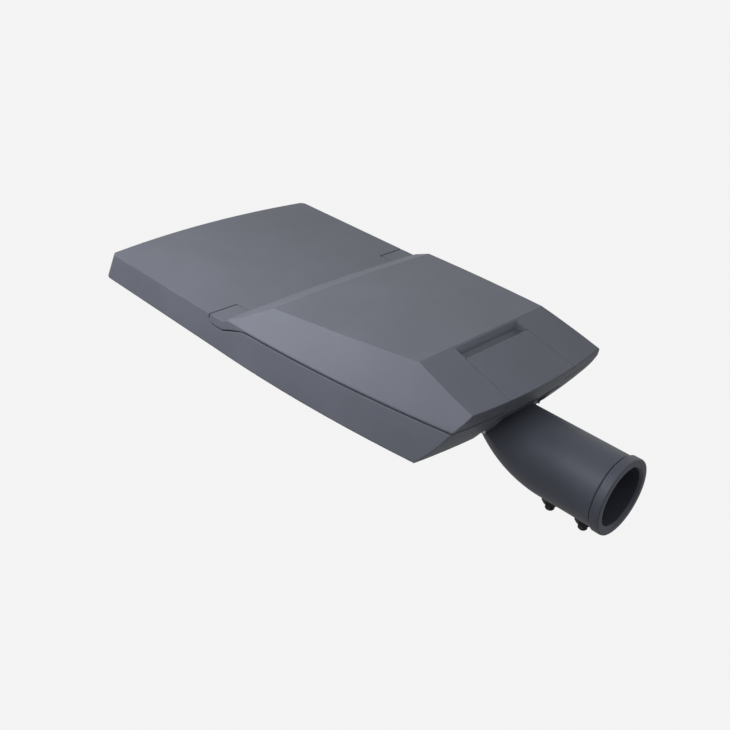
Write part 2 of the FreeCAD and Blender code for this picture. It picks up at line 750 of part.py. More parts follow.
def housing():
    """One die casting: plate, flared band, chamber, compartment and knuckle."""
    body = housing_body()
    body = body.cut([chamber_void(), compartment_void(), side_cores(), latch_notch()] + knuckle_voids())
    body = body.cut(ear_notches())
    adds = board_pads()
    within = housing_body()
    for x, y in frame_screw_points():
        post = flat_bar(Vector(x, y, FRAME_TOP), UP, FRAME_POST_FLATS, -FRAME_TOP - PLATE / 2)
        adds.append(post.common(within))
    for x, y in tray_screw_points():
        foot = underside_z(x) + FLOOR / 2
        adds.append(flat_bar(Vector(x, y, foot), UP, TRAY_POST_FLATS, -TRAY_DROP - foot))
    body = body.fuse(adds)
    holes = []
    for x, y in frame_screw_points():
        holes.append(flat_hole(Vector(x, y, FRAME_TOP), UP, FRAME_SCREW_FLATS, FRAME_SCREW_LENGTH))
    for x, y in tray_screw_points():
        top = Vector(x, y, -TRAY_DROP)
        holes.append(flat_hole(top, DOWN, TRAY_SCREW_FLATS, TRAY_SCREW_LENGTH - TRAY_SHEET))
    for x, y in board_screw_points(-1) + board_screw_points(1):
        depth = BOARD_SCREW_LENGTH - BOARD_THICKNESS
        holes.append(flat_hole(Vector(x, y, BOARD_TOP), UP, BOARD_SCREW_FLATS, depth))
    axis = hinge_axis()
    mouth = Vector(axis.x, EAR_INNER - EAR_GAP, axis.z)
    pin_hole = flat_hole(mouth, ACROSS * -1, 2 * HINGE_PIN_RADIUS, HINGE_PIN_GRIP, sides=ROUND_SIDES)
    holes += both_sides(pin_hole)
    axis = latch_axis()
    mouth = Vector(axis.x, flap_half(axis.x) + FLAP_GAP, axis.z)
    bar_hole = flat_hole(mouth, ACROSS, 2 * LATCH_PIN_RADIUS, LATCH_PIN_GRIP, sides=ROUND_SIDES)
    holes += both_sides(bar_hole)
    gland = Vector(GLAND_X, 0, -POCKET_ROOF)
    holes.append(flat_hole(gland, UP, GLAND_THREAD, POCKET_WALL + 1, sides=ROUND_SIDES))
    holes.append(duct_bar(GROMMET_WALL + SEAT_GAP, WINDOW_REAR - RING_INNER - 1, WALL_FRONT + RIM))
    vent = Vector(VENT_X, VENT_Y, underside_z(VENT_X))
    holes.append(flat_hole(vent, UP, VENT_FLATS, 3 * FLOOR))
    holes.append(flat_hole(vent, UP, VENT_HEAD_FLATS, VENT_HEAD))
    return body.cut(holes)


# Optical pieces
def glass():
    """Flat toughened glass under the chamber."""
    return chamber_slab(GLASS_INSET, GLASS_LOW, GLASS_TOP)


def glass_gasket():
    """Flat seal between the glass and its seat in the housing."""
    outer = chamber_slab(GLASS_INSET, GLASS_TOP, -SEAT_DEPTH)
    return outer.cut(chamber_slab(RING_INNER, GLASS_TOP - 1, -SEAT_DEPTH + 1))


def glass_frame():
    """Flat frame that clamps the glass, with its screw holes."""
    frame = chamber_slab(WALL + FRAME_PLAY, FRAME_LOW, FRAME_TOP)
    frame = frame.cut(chamber_slab(RING_INNER - FRAME_OVERLAP, FRAME_LOW - 1, FRAME_TOP + 1))
    holes = []
    for x, y in frame_screw_points():
        mouth = Vector(x, y, FRAME_LOW)
        holes.append(flat_hole(mouth, UP, FRAME_SCREW_FLATS, FRAME_THICKNESS + 1, RUNNING_GAP))
    return frame.cut(holes)


def small_screw(point, direction, flats, length):
    """A small screw whose head seats at a point. Head and shank are drawn six-sided."""
    height = flats / 2
    head = flat_bar(point - direction * height, direction, HEAD_TO_SHANK * flats, height)
    return head.fuse(flat_bar(point, direction, flats, length)).removeSplitter()


def frame_screws():
    """Screws up through the glass frame."""
    length = FRAME_SCREW_LENGTH + FRAME_THICKNESS
    points = frame_screw_points()
    return [small_screw(Vector(x, y, FRAME_LOW), UP, FRAME_SCREW_FLATS, length) for x, y in points]


def board_screw_points(side):
    """Centres of the screws at one light board's corners."""
    y0, y1 = board_span(side)
    edge = BOARD_SCREW_INSET
    return [(x, y) for x in (BOARD_FRONT + edge, BOARD_REAR - edge) for y in (y0 + edge, y1 - edge)]


def lens_points(side):
    """Centres of one board's light sources."""
    y0, y1 = board_span(side)
    pitch_x = (BOARD_REAR - BOARD_FRONT - 2 * LENS_MARGIN) / LENS_COLUMNS
    pitch_y = (BOARD_WIDTH - 2 * LENS_MARGIN) / LENS_ROWS
    middle_x = (BOARD_FRONT + BOARD_REAR) / 2
    middle_y = (y0 + y1) / 2
    rows = [middle_y + y for y in spread(LENS_ROWS, pitch_y)]
    return [(middle_x + x, y) for x in spread(LENS_COLUMNS, pitch_x) for y in rows]


def led_board(side):
    """Light board against its bed, with holes for its screws."""
    y0, y1 = board_span(side)
    board = box(BOARD_FRONT, BOARD_REAR, y0, y1, BOARD_LOW, BOARD_TOP)
    holes = []
    for x, y in board_screw_points(side):
        mouth = Vector(x, y, BOARD_LOW)
        holes.append(flat_hole(mouth, UP, BOARD_SCREW_FLATS, BOARD_THICKNESS + 1, RUNNING_GAP))
    return board.cut(holes)


def led_packages(side):
    """Light sources in rows under a board."""
    half = CHIP_SIZE / 2
    low = BOARD_LOW - CHIP_HEIGHT
    return [box(x - half, x + half, y - half, y + half, low, BOARD_LOW) for x, y in lens_points(side)]


def lens_dome(x, y):
    """A lens with flat sides under the lens plate, over one light source."""
    turns = [2 * math.pi * (i + 0.5) / LENS_SIDES for i in range(LENS_SIDES)]
    rings = []
    for radius, rise in ((LENS_RADIUS, 0), (LENS_TOP_RADIUS, LENS_RISE)):
        spots = [(x + radius * math.cos(a), y + radius * math.sin(a)) for a in turns]
        rings.append([Vector(px, py, LENS_LOW - rise) for px, py in spots])
    wide, narrow = rings
    faces = [polygon_face(wide), polygon_face(narrow)]
    for i in range(LENS_SIDES):
        j = (i + 1) % LENS_SIDES
        faces.append(polygon_face([wide[i], wide[j], narrow[j], narrow[i]]))
    return Part.Solid(Part.Shell(faces))


def lens_plate(side):
    """Clear moulding over a board: a rimmed sheet with one dome over each light source."""
    y0, y1 = board_span(side)
    front = BOARD_FRONT + LENS_MARGIN
    rear = BOARD_REAR - LENS_MARGIN
    plate = box(front, rear, y0 + LENS_MARGIN, y1 - LENS_MARGIN, LENS_LOW, BOARD_LOW)
    edge = LENS_MARGIN + LENS_RIM
    room_low = BOARD_LOW - LENS_ROOM
    room = box(front + LENS_RIM, rear - LENS_RIM, y0 + edge, y1 - edge, room_low, BOARD_LOW + 1)
    return plate.cut(room).fuse([lens_dome(x, y) for x, y in lens_points(side)])


def board_screws():
    """Screws that hold both boards against their beds."""
    points = board_screw_points(-1) + board_screw_points(1)
    seats = [Vector(x, y, BOARD_LOW) for x, y in points]
    return [small_screw(seat, UP, BOARD_SCREW_FLATS, BOARD_SCREW_LENGTH) for seat in seats]


# Gear
def gear_tray():
    """Folded sheet tray with turned-up sides."""
    tray = box(TRAY_FRONT, TRAY_REAR, -TRAY_HALF, TRAY_HALF, -TRAY_DROP, -TRAY_DROP + TRAY_LIP)
    inside = TRAY_HALF - TRAY_SHEET
    tray = tray.cut(box(TRAY_FRONT - 1, TRAY_REAR + 1, -inside, inside, TRAY_TOP, TRAY_TOP + TRAY_LIP))
    holes = []
    for x, y in tray_screw_points() + gear_screw_points():
        mouth = Vector(x, y, TRAY_TOP)
        holes.append(flat_hole(mouth, DOWN, TRAY_SCREW_FLATS, TRAY_SHEET + 1, RUNNING_GAP))
    return tray.cut(holes)


def tray_screws():
    """Screws down through the tray into the housing's posts."""
    points = tray_screw_points()
    seats = [Vector(x, y, TRAY_TOP) for x, y in points]
    return [small_screw(seat, DOWN, TRAY_SCREW_FLATS, TRAY_SCREW_LENGTH) for seat in seats]


def gear_bodies():
    """Front, length, inner side and width of each box of gear on the tray."""
    front = TRAY_FRONT + GEAR_SET
    driver = (front, DRIVER_LENGTH, -DRIVER_SIDE - DRIVER_WIDTH, DRIVER_WIDTH)
    surge = (front, SURGE_LENGTH, SURGE_SIDE, SURGE_WIDTH)
    terminal_front = TRAY_REAR - TERMINAL_AHEAD
    terminal = (terminal_front, TERMINAL_DEPTH, TERMINAL_SIDE, TERMINAL_PITCH * TERMINAL_POLES)
    return driver, surge, terminal


def gear_foot_points(front, length, side, width):
    """Screw centres in the feet at both ends of a box of gear."""
    middle = side + width / 2
    return [(front - FOOT_LENGTH / 2, middle), (front + length + FOOT_LENGTH / 2, middle)]


def gear_screw_points():
    """Centres of all the screws that hold gear to the tray."""
    return [point for body in gear_bodies() for point in gear_foot_points(*body)]


def gear_box(front, length, side, width, height):
    """A box of gear with a screwed foot at each end."""
    body = box(front, front + length, side, side + width, TRAY_TOP, TRAY_TOP + height)
    top_edges = [e for e in body.Edges if min(v.Z for v in e.Vertexes) > TRAY_TOP + height / 2]
    body = body.makeChamfer(FOOT_SHEET / 2, top_edges)
    middle = side + width / 2
    foot_low, foot_high = middle - FOOT_LENGTH, middle + FOOT_LENGTH
    foot_top = TRAY_TOP + FOOT_SHEET
    foot = box(front - FOOT_LENGTH, front + length + FOOT_LENGTH, foot_low, foot_high, TRAY_TOP, foot_top)
    body = body.fuse(foot).removeSplitter()
    holes = []
    for x, y in gear_foot_points(front, length, side, width):
        holes.append(flat_hole(Vector(x, y, foot_top), DOWN, TRAY_SCREW_FLATS, FOOT_SHEET + 1, RUNNING_GAP))
    return body.cut(holes)


def led_driver():
    """Constant-current supply in a flat case."""
    front, length, side, width = gear_bodies()[0]
    return gear_box(front, length, side, width, DRIVER_HEIGHT)


def surge_protector():
    """Surge arrester in a potted case."""
    front, length, side, width = gear_bodies()[1]
    return gear_box(front, length, side, width, SURGE_HEIGHT)


def terminal_block():
    """Screw terminals in a row, with a wire way through each pole."""
    front, length, side, width = gear_bodies()[2]
    block = gear_box(front, length, side, width, TERMINAL_HEIGHT)
    half = TERMINAL_WAY / 2
    middle = TRAY_TOP + TERMINAL_HEIGHT / 2
    centre = front + length / 2
    ways = []
    for offset in spread(TERMINAL_POLES, TERMINAL_PITCH):
        y = side + width / 2 + offset
        ways.append(box(front - 1, front + length + 1, y - half, y + half, middle - half, middle + half))
        ways.append(box(centre - half, centre + half, y - half, y + half, middle, middle + TERMINAL_HEIGHT))
    return block.cut(ways)


def gear_screws():
    """Screws through the gear's feet into the tray."""
    points = gear_screw_points()
    top = TRAY_TOP + FOOT_SHEET
    return [small_screw(Vector(x, y, top), DOWN, TRAY_SCREW_FLATS, GEAR_SCREW_LENGTH) for x, y in points]


def duct_bar(grow, x0, x1):
    """A bar along the flat duct between chamber and compartment, grown all round."""
    half = DUCT_HALF_WIDTH + grow
    tall = DUCT_HALF_HEIGHT + grow
    return box(x0, x1, -half, half, -DUCT_DROP - tall, -DUCT_DROP + tall)


def duct_grommet():
    """Rubber sleeve in the lead duct, flanged inside the compartment."""
    start = WINDOW_REAR - RING_INNER - 1
    seat = WALL_FRONT + RUNNING_GAP
    end = seat + GROMMET_FLANGE
    sleeve = duct_bar(GROMMET_WALL, start, end)
    flange = duct_bar(2 * GROMMET_WALL, seat, end)
    return sleeve.fuse(flange).cut(duct_bar(0, start - 1, end + 1)).removeSplitter()


def breather_vent():
    """Pressure-balancing plug, flush in the housing's floor."""
    floor = Vector(VENT_X, VENT_Y, underside_z(VENT_X))
    head = flat_bar(floor, UP, VENT_HEAD_FLATS, VENT_HEAD)
    return head.fuse(flat_bar(floor, UP, VENT_FLATS, FLOOR + VENT_HEAD)).removeSplitter()


def cable_gland():
    """Gland body up through the pocket's roof."""
    seat = Vector(GLAND_X, 0, -POCKET_ROOF)
    head = flat_bar(seat, DOWN, GLAND_HEAD_FLATS, GLAND_HEAD)
    stem = flat_bar(seat, UP, GLAND_THREAD, POCKET_WALL + GLAND_NUT_HEIGHT + GLAND_TAIL, ROUND_SIDES)
    bore = flat_bar(seat + DOWN * BEYOND, UP, GLAND_BORE, 2 * BEYOND, ROUND_SIDES)
    return head.fuse(stem).cut(bore).removeSplitter()


def gland_nut():
    """Nut on the gland inside the compartment."""
    base = Vector(GLAND_X, 0, POCKET_TOP)
    nut = flat_bar(base, UP, GLAND_NUT_FLATS, GLAND_NUT_HEIGHT)
    return nut.cut(flat_hole(base, UP, GLAND_THREAD, GLAND_NUT_HEIGHT + 1, sides=ROUND_SIDES))


def cover_gasket():
    """Seal lying on the housing's rim under the cover."""
    return seal_zone(SEAL_INSET, 0, SEAM_GAP).cut(seal_zone(SEAL_INNER, -1, SEAM_GAP + 1))


# Gear cover
def cover_void():
    """Hollow of the cover: its form less its skin, with the skin carried round flap and finger pocket."""
    void = faceted_block(COVER_SKIN).common(band_solid(COVER_SKIN, -BEYOND / 4, BEYOND))
    gap = FLAP_GAP + COVER_SKIN
    void = void.cut([flap_shell(gap, RECESS + COVER_SKIN), finger_void(COVER_SKIN), spring_void(COVER_SKIN)])
    flange_top = SEAM_GAP + COVER_FLANGE
    flange = box(0, HEAD_LENGTH + BEYOND, -FAR_OUT, FAR_OUT, -BEYOND, flange_top)
    return void.cut(flange.cut(seal_zone(SEAL_INNER + SEAL_LAND, -BEYOND, BEYOND)))


def ears_below(z):
    """The parts of both hinge ears under z, clear of the seal."""
    low = ear_prism(0).common(box(0, HEAD_LENGTH, -FAR_OUT, 0, -BEYOND, z))
    return both_sides(low.cut(seal_zone(EAR_STRIP, -BEYOND, BEYOND)))


def cover_reach():
    """Room that the faceted body fills: above the seam, down to a low lip in front and into the ears."""
    above = box(0, HEAD_LENGTH + BEYOND, -FAR_OUT, FAR_OUT, SEAM_GAP, 2 * BEYOND)
    lip = box(STEP_FOOT - BEYOND, EAR_REAR, -EAR_INNER, EAR_INNER, FRONT_SEAM, SEAM_GAP)
    lip = lip.cut(seal_zone(EAR_STRIP, -BEYOND, BEYOND))
    return above.fuse([lip] + ears_below(SEAM_GAP))


def cover_form():
    """The outside of the cover, with its ears."""
    body = faceted_block(0).common(cover_reach())
    body = body.fuse(ears_below(0))
    return body.common(band_solid(0, -BEYOND / 4, BEYOND))


def gear_cover():
    """One casting: faceted shell with its flange, ears, flap recess and finger pocket."""
    shell = cover_form().cut(cover_void())
    cuts = [flap_shell(FLAP_GAP, RECESS), finger_void(0), spring_void(0)]
    cuts += both_sides(cross_rod(hinge_axis(), HINGE_PIN_RADIUS + RUNNING_GAP, EAR_INNER - 1,
                                 EAR_INNER + HINGE_PIN_REACH + RUNNING_GAP))
    return shell.cut(cuts)


def hinge_pins():
    """Stub pins from the housing into the cover's ears."""
    start = EAR_INNER - EAR_GAP - HINGE_PIN_GRIP
    pin = cross_rod(hinge_axis(), HINGE_PIN_RADIUS, start, EAR_INNER + HINGE_PIN_REACH)
    return both_sides(pin)


# Latch
def latch_flap():
    """Flap over the cover's rear facet and rear edge, with its hinge barrel."""
    plate = flap_shell(0, FLAP_THICKNESS).common(under_skin(0))
    low = REAR_TOP_Z - FLAP_LIP
    plate = plate.common(box(FLAP_FRONT, HEAD_LENGTH + BEYOND, -FAR_OUT, FAR_OUT, low, BEYOND))
    axis = latch_axis()
    half = flap_half(axis.x)
    barrel = flat_bar(Vector(axis.x, -half, axis.z), ACROSS, 2 * BARREL_RADIUS, 2 * half, ROUND_SIDES)
    flap = plate.fuse(barrel)
    flap = flap.cut(cross_rod(axis, LATCH_PIN_RADIUS + RUNNING_GAP, -2 * half, 2 * half))
    for point in rivet_points():
        inner = point - surface_up() * FLAP_THICKNESS
        flap = flap.cut(flat_hole(inner, surface_up(), SPRING_RIVET_FLATS, FLAP_THICKNESS - RIVET_COVER))
    return flap.removeSplitter()


def surface_up():
    """Direction square to the cover's rear facet."""
    drop = Vector(REAR_DROP, 0, HEAD_LENGTH - RIDGE_X)
    drop.normalize()
    return drop


def on_flap(x, y, depth):
    """A point at x and y, depth below the flap's top face."""
    return Vector(x, y, rear_z(x)) - surface_up() * depth


def rivet_points():
    """Centres of the spring's rivets, on the flap's top face."""
    x = FLAP_FRONT + SPRING_SEAT / 2
    return [on_flap(x, y, 0) for y in spread(2, SPRING_RIVET_PITCH)]


def latch_spring():
    """Leaf spring riveted under the flap, bent down to a bead that snaps into the cover's well."""
    half = SPRING_WIDTH / 2
    front = FLAP_FRONT + SPRING_SEAT / 2 - SPRING_RIVET_FLATS
    bend = FLAP_FRONT + SPRING_SEAT
    dip = bend + SPRING_LENGTH / 2
    tail = bend + SPRING_LENGTH
    under = FLAP_THICKNESS
    deep = under + SPRING_DIP
    upper = [on_flap(front, -half, under), on_flap(bend, -half, under), on_flap(dip, -half, deep)]
    upper.append(on_flap(tail, -half, under + SPRING_SHEET))
    lower = [on_flap(tail, -half, under + 2 * SPRING_SHEET), on_flap(dip, -half, deep + SPRING_SHEET)]
    lower += [on_flap(bend, -half, under + SPRING_SHEET), on_flap(front, -half, under + SPRING_SHEET)]
    leaf = polygon_face(upper + lower).extrude(Vector(0, SPRING_WIDTH, 0))
    for point in rivet_points():
        mouth = point - surface_up() * (FLAP_THICKNESS + SPRING_SHEET)
        leaf = leaf.cut(flat_hole(mouth, surface_up(), SPRING_RIVET_FLATS, SPRING_SHEET + 1))
    return leaf


def spring_rivets():
    """Rivets from under the leaf spring into the flap."""
    rivets = []
    for point in rivet_points():
        seat = point - surface_up() * (FLAP_THICKNESS + SPRING_SHEET)
        length = FLAP_THICKNESS + SPRING_SHEET - RIVET_COVER
        rivets.append(small_screw(seat, surface_up(), SPRING_RIVET_FLATS, length))
    return rivets


def latch_pin():
    """Hinge bar of the flap."""
    half = flap_half(latch_axis().x) + FLAP_GAP + LATCH_PIN_GRIP
    return cross_rod(latch_axis(), LATCH_PIN_RADIUS, -half, half)


# Spigot
def neck():
    """Bent neck from the socket up into the head's knuckle, in mitred lengths, flattened on top."""
    step = math.radians(NECK_ANGLE) / NECK_MITRES
    lengths = []
    for i in range(NECK_MITRES + 1):
        turn = i * step
        outward = Vector(-math.sin(turn), 0, -math.cos(turn))
        along = Vector(-math.cos(turn), 0, math.sin(turn))
        middle = NECK_CENTRE + outward * NECK_BEND
        bar = rod(middle - along * NECK_BEND, along, SPIGOT_RADIUS, 2 * NECK_BEND)
        ends = (max(0, turn - step / 2), min(NECK_MITRES * step, turn + step / 2))
        rays = [Vector(-math.sin(end), 0, -math.cos(end)) * (2 * NECK_BEND) for end in ends]
        corners = [NECK_CENTRE, NECK_CENTRE + rays[0], NECK_CENTRE + rays[1]]
        wedge = side_prism([(p.x, p.z) for p in corners], -FAR_OUT, FAR_OUT)
        lengths.append(bar.common(wedge))
    elbow = lengths[0].fuse(lengths[1:])
    over = box(NECK_START - 2 * NECK_BEND, NECK_START, -FAR_OUT, FAR_OUT, NECK_TOP, 2 * BEYOND)
    return elbow.cut(over)


def socket_tube():
    """Tube of the mast socket with its collar, turned about the socket's axis."""
    collar = MOUTH_X - COLLAR_LENGTH
    outline = [(NECK_START, 0), (NECK_START, SPIGOT_RADIUS), (collar, SPIGOT_RADIUS)]
    outline += [(collar, COLLAR_RADIUS), (MOUTH_X, COLLAR_RADIUS), (MOUTH_X, 0)]
    face = polygon_face([Vector(x, 0, radius - AXIS_DROP) for x, radius in outline])
    return face.revolve(Vector(0, 0, -AXIS_DROP), BACK, 360)


def clamp_points():
    """Centres of the clamp screws, on the underside of the tube."""
    first = MOUTH_X - CLAMP_FROM_MOUTH
    return [Vector(first - i * CLAMP_PITCH, 0, -AXIS_DROP - SPIGOT_RADIUS) for i in range(2)]


def mast_spigot():
    """One casting: socket for the mast, neck, tilt bosses and clamp bosses."""
    body = socket_tube().fuse(neck())
    bosses = []
    for point, size in ((TILT_PIVOT, TILT_BOSS_SIZE), (LOCK_POINT, LOCK_BOSS_SIZE)):
        start = Vector(point.x, KNUCKLE_HALF - TILT_BOSS_LENGTH, point.z)
        bosses += both_sides(flat_bar(start, ACROSS, size, TILT_BOSS_LENGTH, 8))
    half = CLAMP_PAD_HALF
    for point in clamp_points():
        low = point.z - CLAMP_PAD_HEIGHT
        bosses.append(box(point.x - half, point.x + half, -half, half, low, point.z + WALL))
    body = body.fuse(bosses)
    mouth = Vector(MOUTH_X + 1, 0, -AXIS_DROP)
    cuts = [rod(mouth, BACK * -1, SOCKET_RADIUS, SOCKET_DEPTH + 1)]
    way_start = Vector(MOUTH_X - SOCKET_DEPTH + CABLE_WAY_RADIUS, 0, -AXIS_DROP + CABLE_WAY_RADIUS / 2)
    way = TILT_PIVOT - way_start
    reach = way.Length + BEYOND
    way.normalize()
    cuts.append(flat_bar(way_start, way, 2 * CABLE_WAY_RADIUS, reach, ROUND_SIDES))
    for point, radius in ((TILT_PIVOT, TILT_SCREW_RADIUS), (LOCK_POINT, LOCK_SCREW_RADIUS)):
        mouth = Vector(point.x, KNUCKLE_HALF, point.z)
        hole = flat_hole(mouth, ACROSS * -1, 2 * radius, TILT_SCREW_GRIP, sides=ROUND_SIDES)
        cuts += both_sides(hole)
    for point in clamp_points():
        mouth = point - UP * CLAMP_PAD_HEIGHT
        cuts.append(flat_hole(mouth, UP, 2 * CLAMP_SCREW_RADIUS, SPIGOT_RADIUS, sides=ROUND_SIDES))
    return body.cut(cuts)


def clamp_screws():
    """Socket set screws that bear on the mast, backed out clear of the bore."""
    screws = []
    tip_z = -AXIS_DROP - SOCKET_RADIUS - CLAMP_RETRACT
    for point in clamp_points():
        tail_z = point.z - CLAMP_PAD_HEIGHT - CLAMP_NUT_HEIGHT - CLAMP_TAIL
        tail = Vector(point.x, 0, tail_z)
        screw = flat_bar(tail, UP, 2 * CLAMP_SCREW_RADIUS, tip_z - tail_z, ROUND_SIDES)
        screws.append(screw.cut(flat_bar(tail - UP, UP, CLAMP_KEY_FLATS, CLAMP_KEY_DEPTH + 1)))
    return screws


def clamp_lock_nuts():
    """Lock nuts on the clamp screws."""
    nuts = []
    for point in clamp_points():
        base = point - UP * CLAMP_PAD_HEIGHT
        nut = flat_bar(base, DOWN, CLAMP_NUT_FLATS, CLAMP_NUT_HEIGHT)
        hole = flat_hole(base, DOWN, 2 * CLAMP_SCREW_RADIUS, CLAMP_NUT_HEIGHT + 1, sides=ROUND_SIDES)
        nuts.append(nut.cut(hole))
    return nuts


def cross_bolt(point, radius, washer, flats, height, turning):
    """Hexagon screw from a spanner bay through a cheek into the spigot, round where the head turns on it."""
    seat = CHEEK_FACE + WASHER_PLAY + washer
    inner = KNUCKLE_HALF - TILT_SCREW_GRIP
    start = Vector(point.x, inner, point.z)
    if turning:
        shank = rod(start, ACROSS, radius, seat - inner)
    else:
        shank = flat_bar(start, ACROSS, 2 * radius, seat - inner, ROUND_SIDES)
    head = flat_bar(Vector(point.x, seat, point.z), ACROSS, flats, height)
    return both_sides(shank.fuse(head).removeSplitter())


def tilt_pivot_screws():
    """The pair of screws that the head tilts on."""
    sizes = (TILT_SCREW_RADIUS, TILT_WASHER_SHEET, TILT_HEAD_FLATS, TILT_HEAD_HEIGHT)
    return cross_bolt(TILT_PIVOT, *sizes, turning=True)


def tilt_lock_screws():
    """The pair of screws that fix the tilt."""
    sizes = (LOCK_SCREW_RADIUS, LOCK_WASHER_SHEET, LOCK_HEAD_FLATS, LOCK_HEAD_HEIGHT)
    return cross_bolt(LOCK_POINT, *sizes, turning=False)


def tilt_washers():
    """Square plate washers under the heads of the tilt and lock screws."""
    sizes = [(TILT_PIVOT, TILT_SCREW_RADIUS, TILT_WASHER_SIZE / 2, TILT_WASHER_SHEET)]
    sizes.append((LOCK_POINT, LOCK_SCREW_RADIUS, LOCK_WASHER_SIZE / 2, LOCK_WASHER_SHEET))
    start = CHEEK_FACE + WASHER_PLAY
    washers = []
    for point, radius, half, sheet in sizes:
        plate = box(point.x - half, point.x + half, start, start + sheet, point.z - half, point.z + half)
        mouth = Vector(point.x, start, point.z)
        hole = flat_hole(mouth, ACROSS, 2 * radius, sheet + 1, RUNNING_GAP, ROUND_SIDES)
        washers += both_sides(plate.cut(hole))
    return washers


def save(name, shape):
    """Write one piece, or a group of like pieces, moved so that the socket's mouth is the origin."""
    moved = Part.makeCompound(shape) if isinstance(shape, list) else shape.copy()
    moved.translate(PLACE)
    moved.exportStep("parts/" + name + ".step")
    state = "valid" if moved.isValid() else "INVALID"
    print(name, len(moved.Solids), "solid", state, round(moved.Volume))


os.makedirs("parts", exist_ok=True)
save("mast_spigot", mast_spigot())
save("clamp_screws", clamp_screws())
save("clamp_lock_nuts", clamp_lock_nuts())
save("tilt_pivot_screws", tilt_pivot_screws())
save("tilt_lock_screws", tilt_lock_screws())
save("tilt_washers", tilt_washers())
save("housing", housing())
save("optic_glass", glass())
save("glass_gasket", glass_gasket())
save("glass_frame", glass_frame())
save("frame_screws", frame_screws())
for side_name, side_sign in (("near", -1), ("far", 1)):
    save("led_board_" + side_name, led_board(side_sign))
    save("led_packages_" + side_name, led_packages(side_sign))
    save("lens_plate_" + side_name, lens_plate(side_sign))
save("board_screws", board_screws())
save("gear_tray", gear_tray())
save("tray_screws", tray_screws())
save("led_driver", led_driver())
save("surge_protector", surge_protector())
save("terminal_block", terminal_block())
save("gear_screws", gear_screws())
save("duct_grommet", duct_grommet())
save("breather_vent", breather_vent())
save("cable_gland", cable_gland())
save("gland_nut", gland_nut())
save("cover_gasket", cover_gasket())
save("hinge_pins", hinge_pins())
save("latch_pin", latch_pin())
save("gear_cover", gear_cover())
save("latch_flap", latch_flap())
save("latch_spring", latch_spring())
save("spring_rivets", spring_rivets())
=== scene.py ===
import json
import logging
import math
from dataclasses import dataclass
from enum import Enum
from functools import cached_property
from typing import Iterable, Sequence

import bmesh
import bpy
from mathutils import Matrix, Vector


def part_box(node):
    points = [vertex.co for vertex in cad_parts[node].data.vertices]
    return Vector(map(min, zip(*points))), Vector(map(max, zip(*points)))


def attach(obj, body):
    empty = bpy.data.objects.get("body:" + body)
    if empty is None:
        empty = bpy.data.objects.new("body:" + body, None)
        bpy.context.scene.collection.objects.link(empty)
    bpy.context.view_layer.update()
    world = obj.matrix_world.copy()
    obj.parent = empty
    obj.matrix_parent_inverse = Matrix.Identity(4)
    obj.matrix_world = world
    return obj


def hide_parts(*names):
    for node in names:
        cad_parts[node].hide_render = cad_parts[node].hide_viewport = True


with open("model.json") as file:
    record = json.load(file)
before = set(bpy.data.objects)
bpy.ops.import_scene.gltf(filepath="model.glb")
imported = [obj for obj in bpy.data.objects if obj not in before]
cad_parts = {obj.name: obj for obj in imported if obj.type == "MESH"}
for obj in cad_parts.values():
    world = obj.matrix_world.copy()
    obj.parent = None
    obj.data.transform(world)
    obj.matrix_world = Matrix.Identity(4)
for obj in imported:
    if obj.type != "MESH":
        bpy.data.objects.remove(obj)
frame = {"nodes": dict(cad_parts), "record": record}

log = logging.getLogger("street_light_head")
MM = 0.001
UP = Vector((0, 0, 1))
ACROSS = Vector((0, 1, 0))
HEXAGON = math.cos(math.pi / 6)
Pair = tuple[float, float]
Triple = tuple[float, float, float]
Section = list[Pair]
Mesh = bmesh.types.BMesh
Edges = list[bmesh.types.BMEdge]
Material = bpy.types.Material
Socket = bpy.types.NodeSocket


class Body(str, Enum):
    """Bodies of the light head that pieces ride on."""

    SPIGOT = "spigot"
    HEAD = "head"
    COVER = "cover"
    LATCH = "latch"


class Cut(str, Enum):
    """Ways to put one solid together with others."""

    ADD = "UNION"
    AWAY = "DIFFERENCE"
    COMMON = "INTERSECT"


def in_mm(*points: Pair) -> Section:
    """Corners of a section in metres, from their radius and height in millimetres."""
    return [(radius * MM, height * MM) for radius, height in points]


def foot_of(low: Vector, high: Vector) -> Vector:
    """Middle of a box's lower face."""
    return Vector(((low.x + high.x) / 2, (low.y + high.y) / 2, low.z))


def shade(colour: Triple, factor: float) -> Triple:
    """A colour made darker or paler by a factor."""
    return tuple(factor * part for part in colour)


def only(items: Iterable[object], kind: type) -> list:
    """The items of one kind, in their order."""
    return [item for item in items if isinstance(item, kind)]


def stand(name: str, data: bpy.types.ID) -> bpy.types.Object:
    """Put data into the scene.

    Args:
        name: name of the object.
        data: its mesh, light or camera.

    Returns:
        The object, at the origin.
    """
    obj = bpy.data.objects.new(name, data)
    bpy.context.scene.collection.objects.link(obj)
    return obj


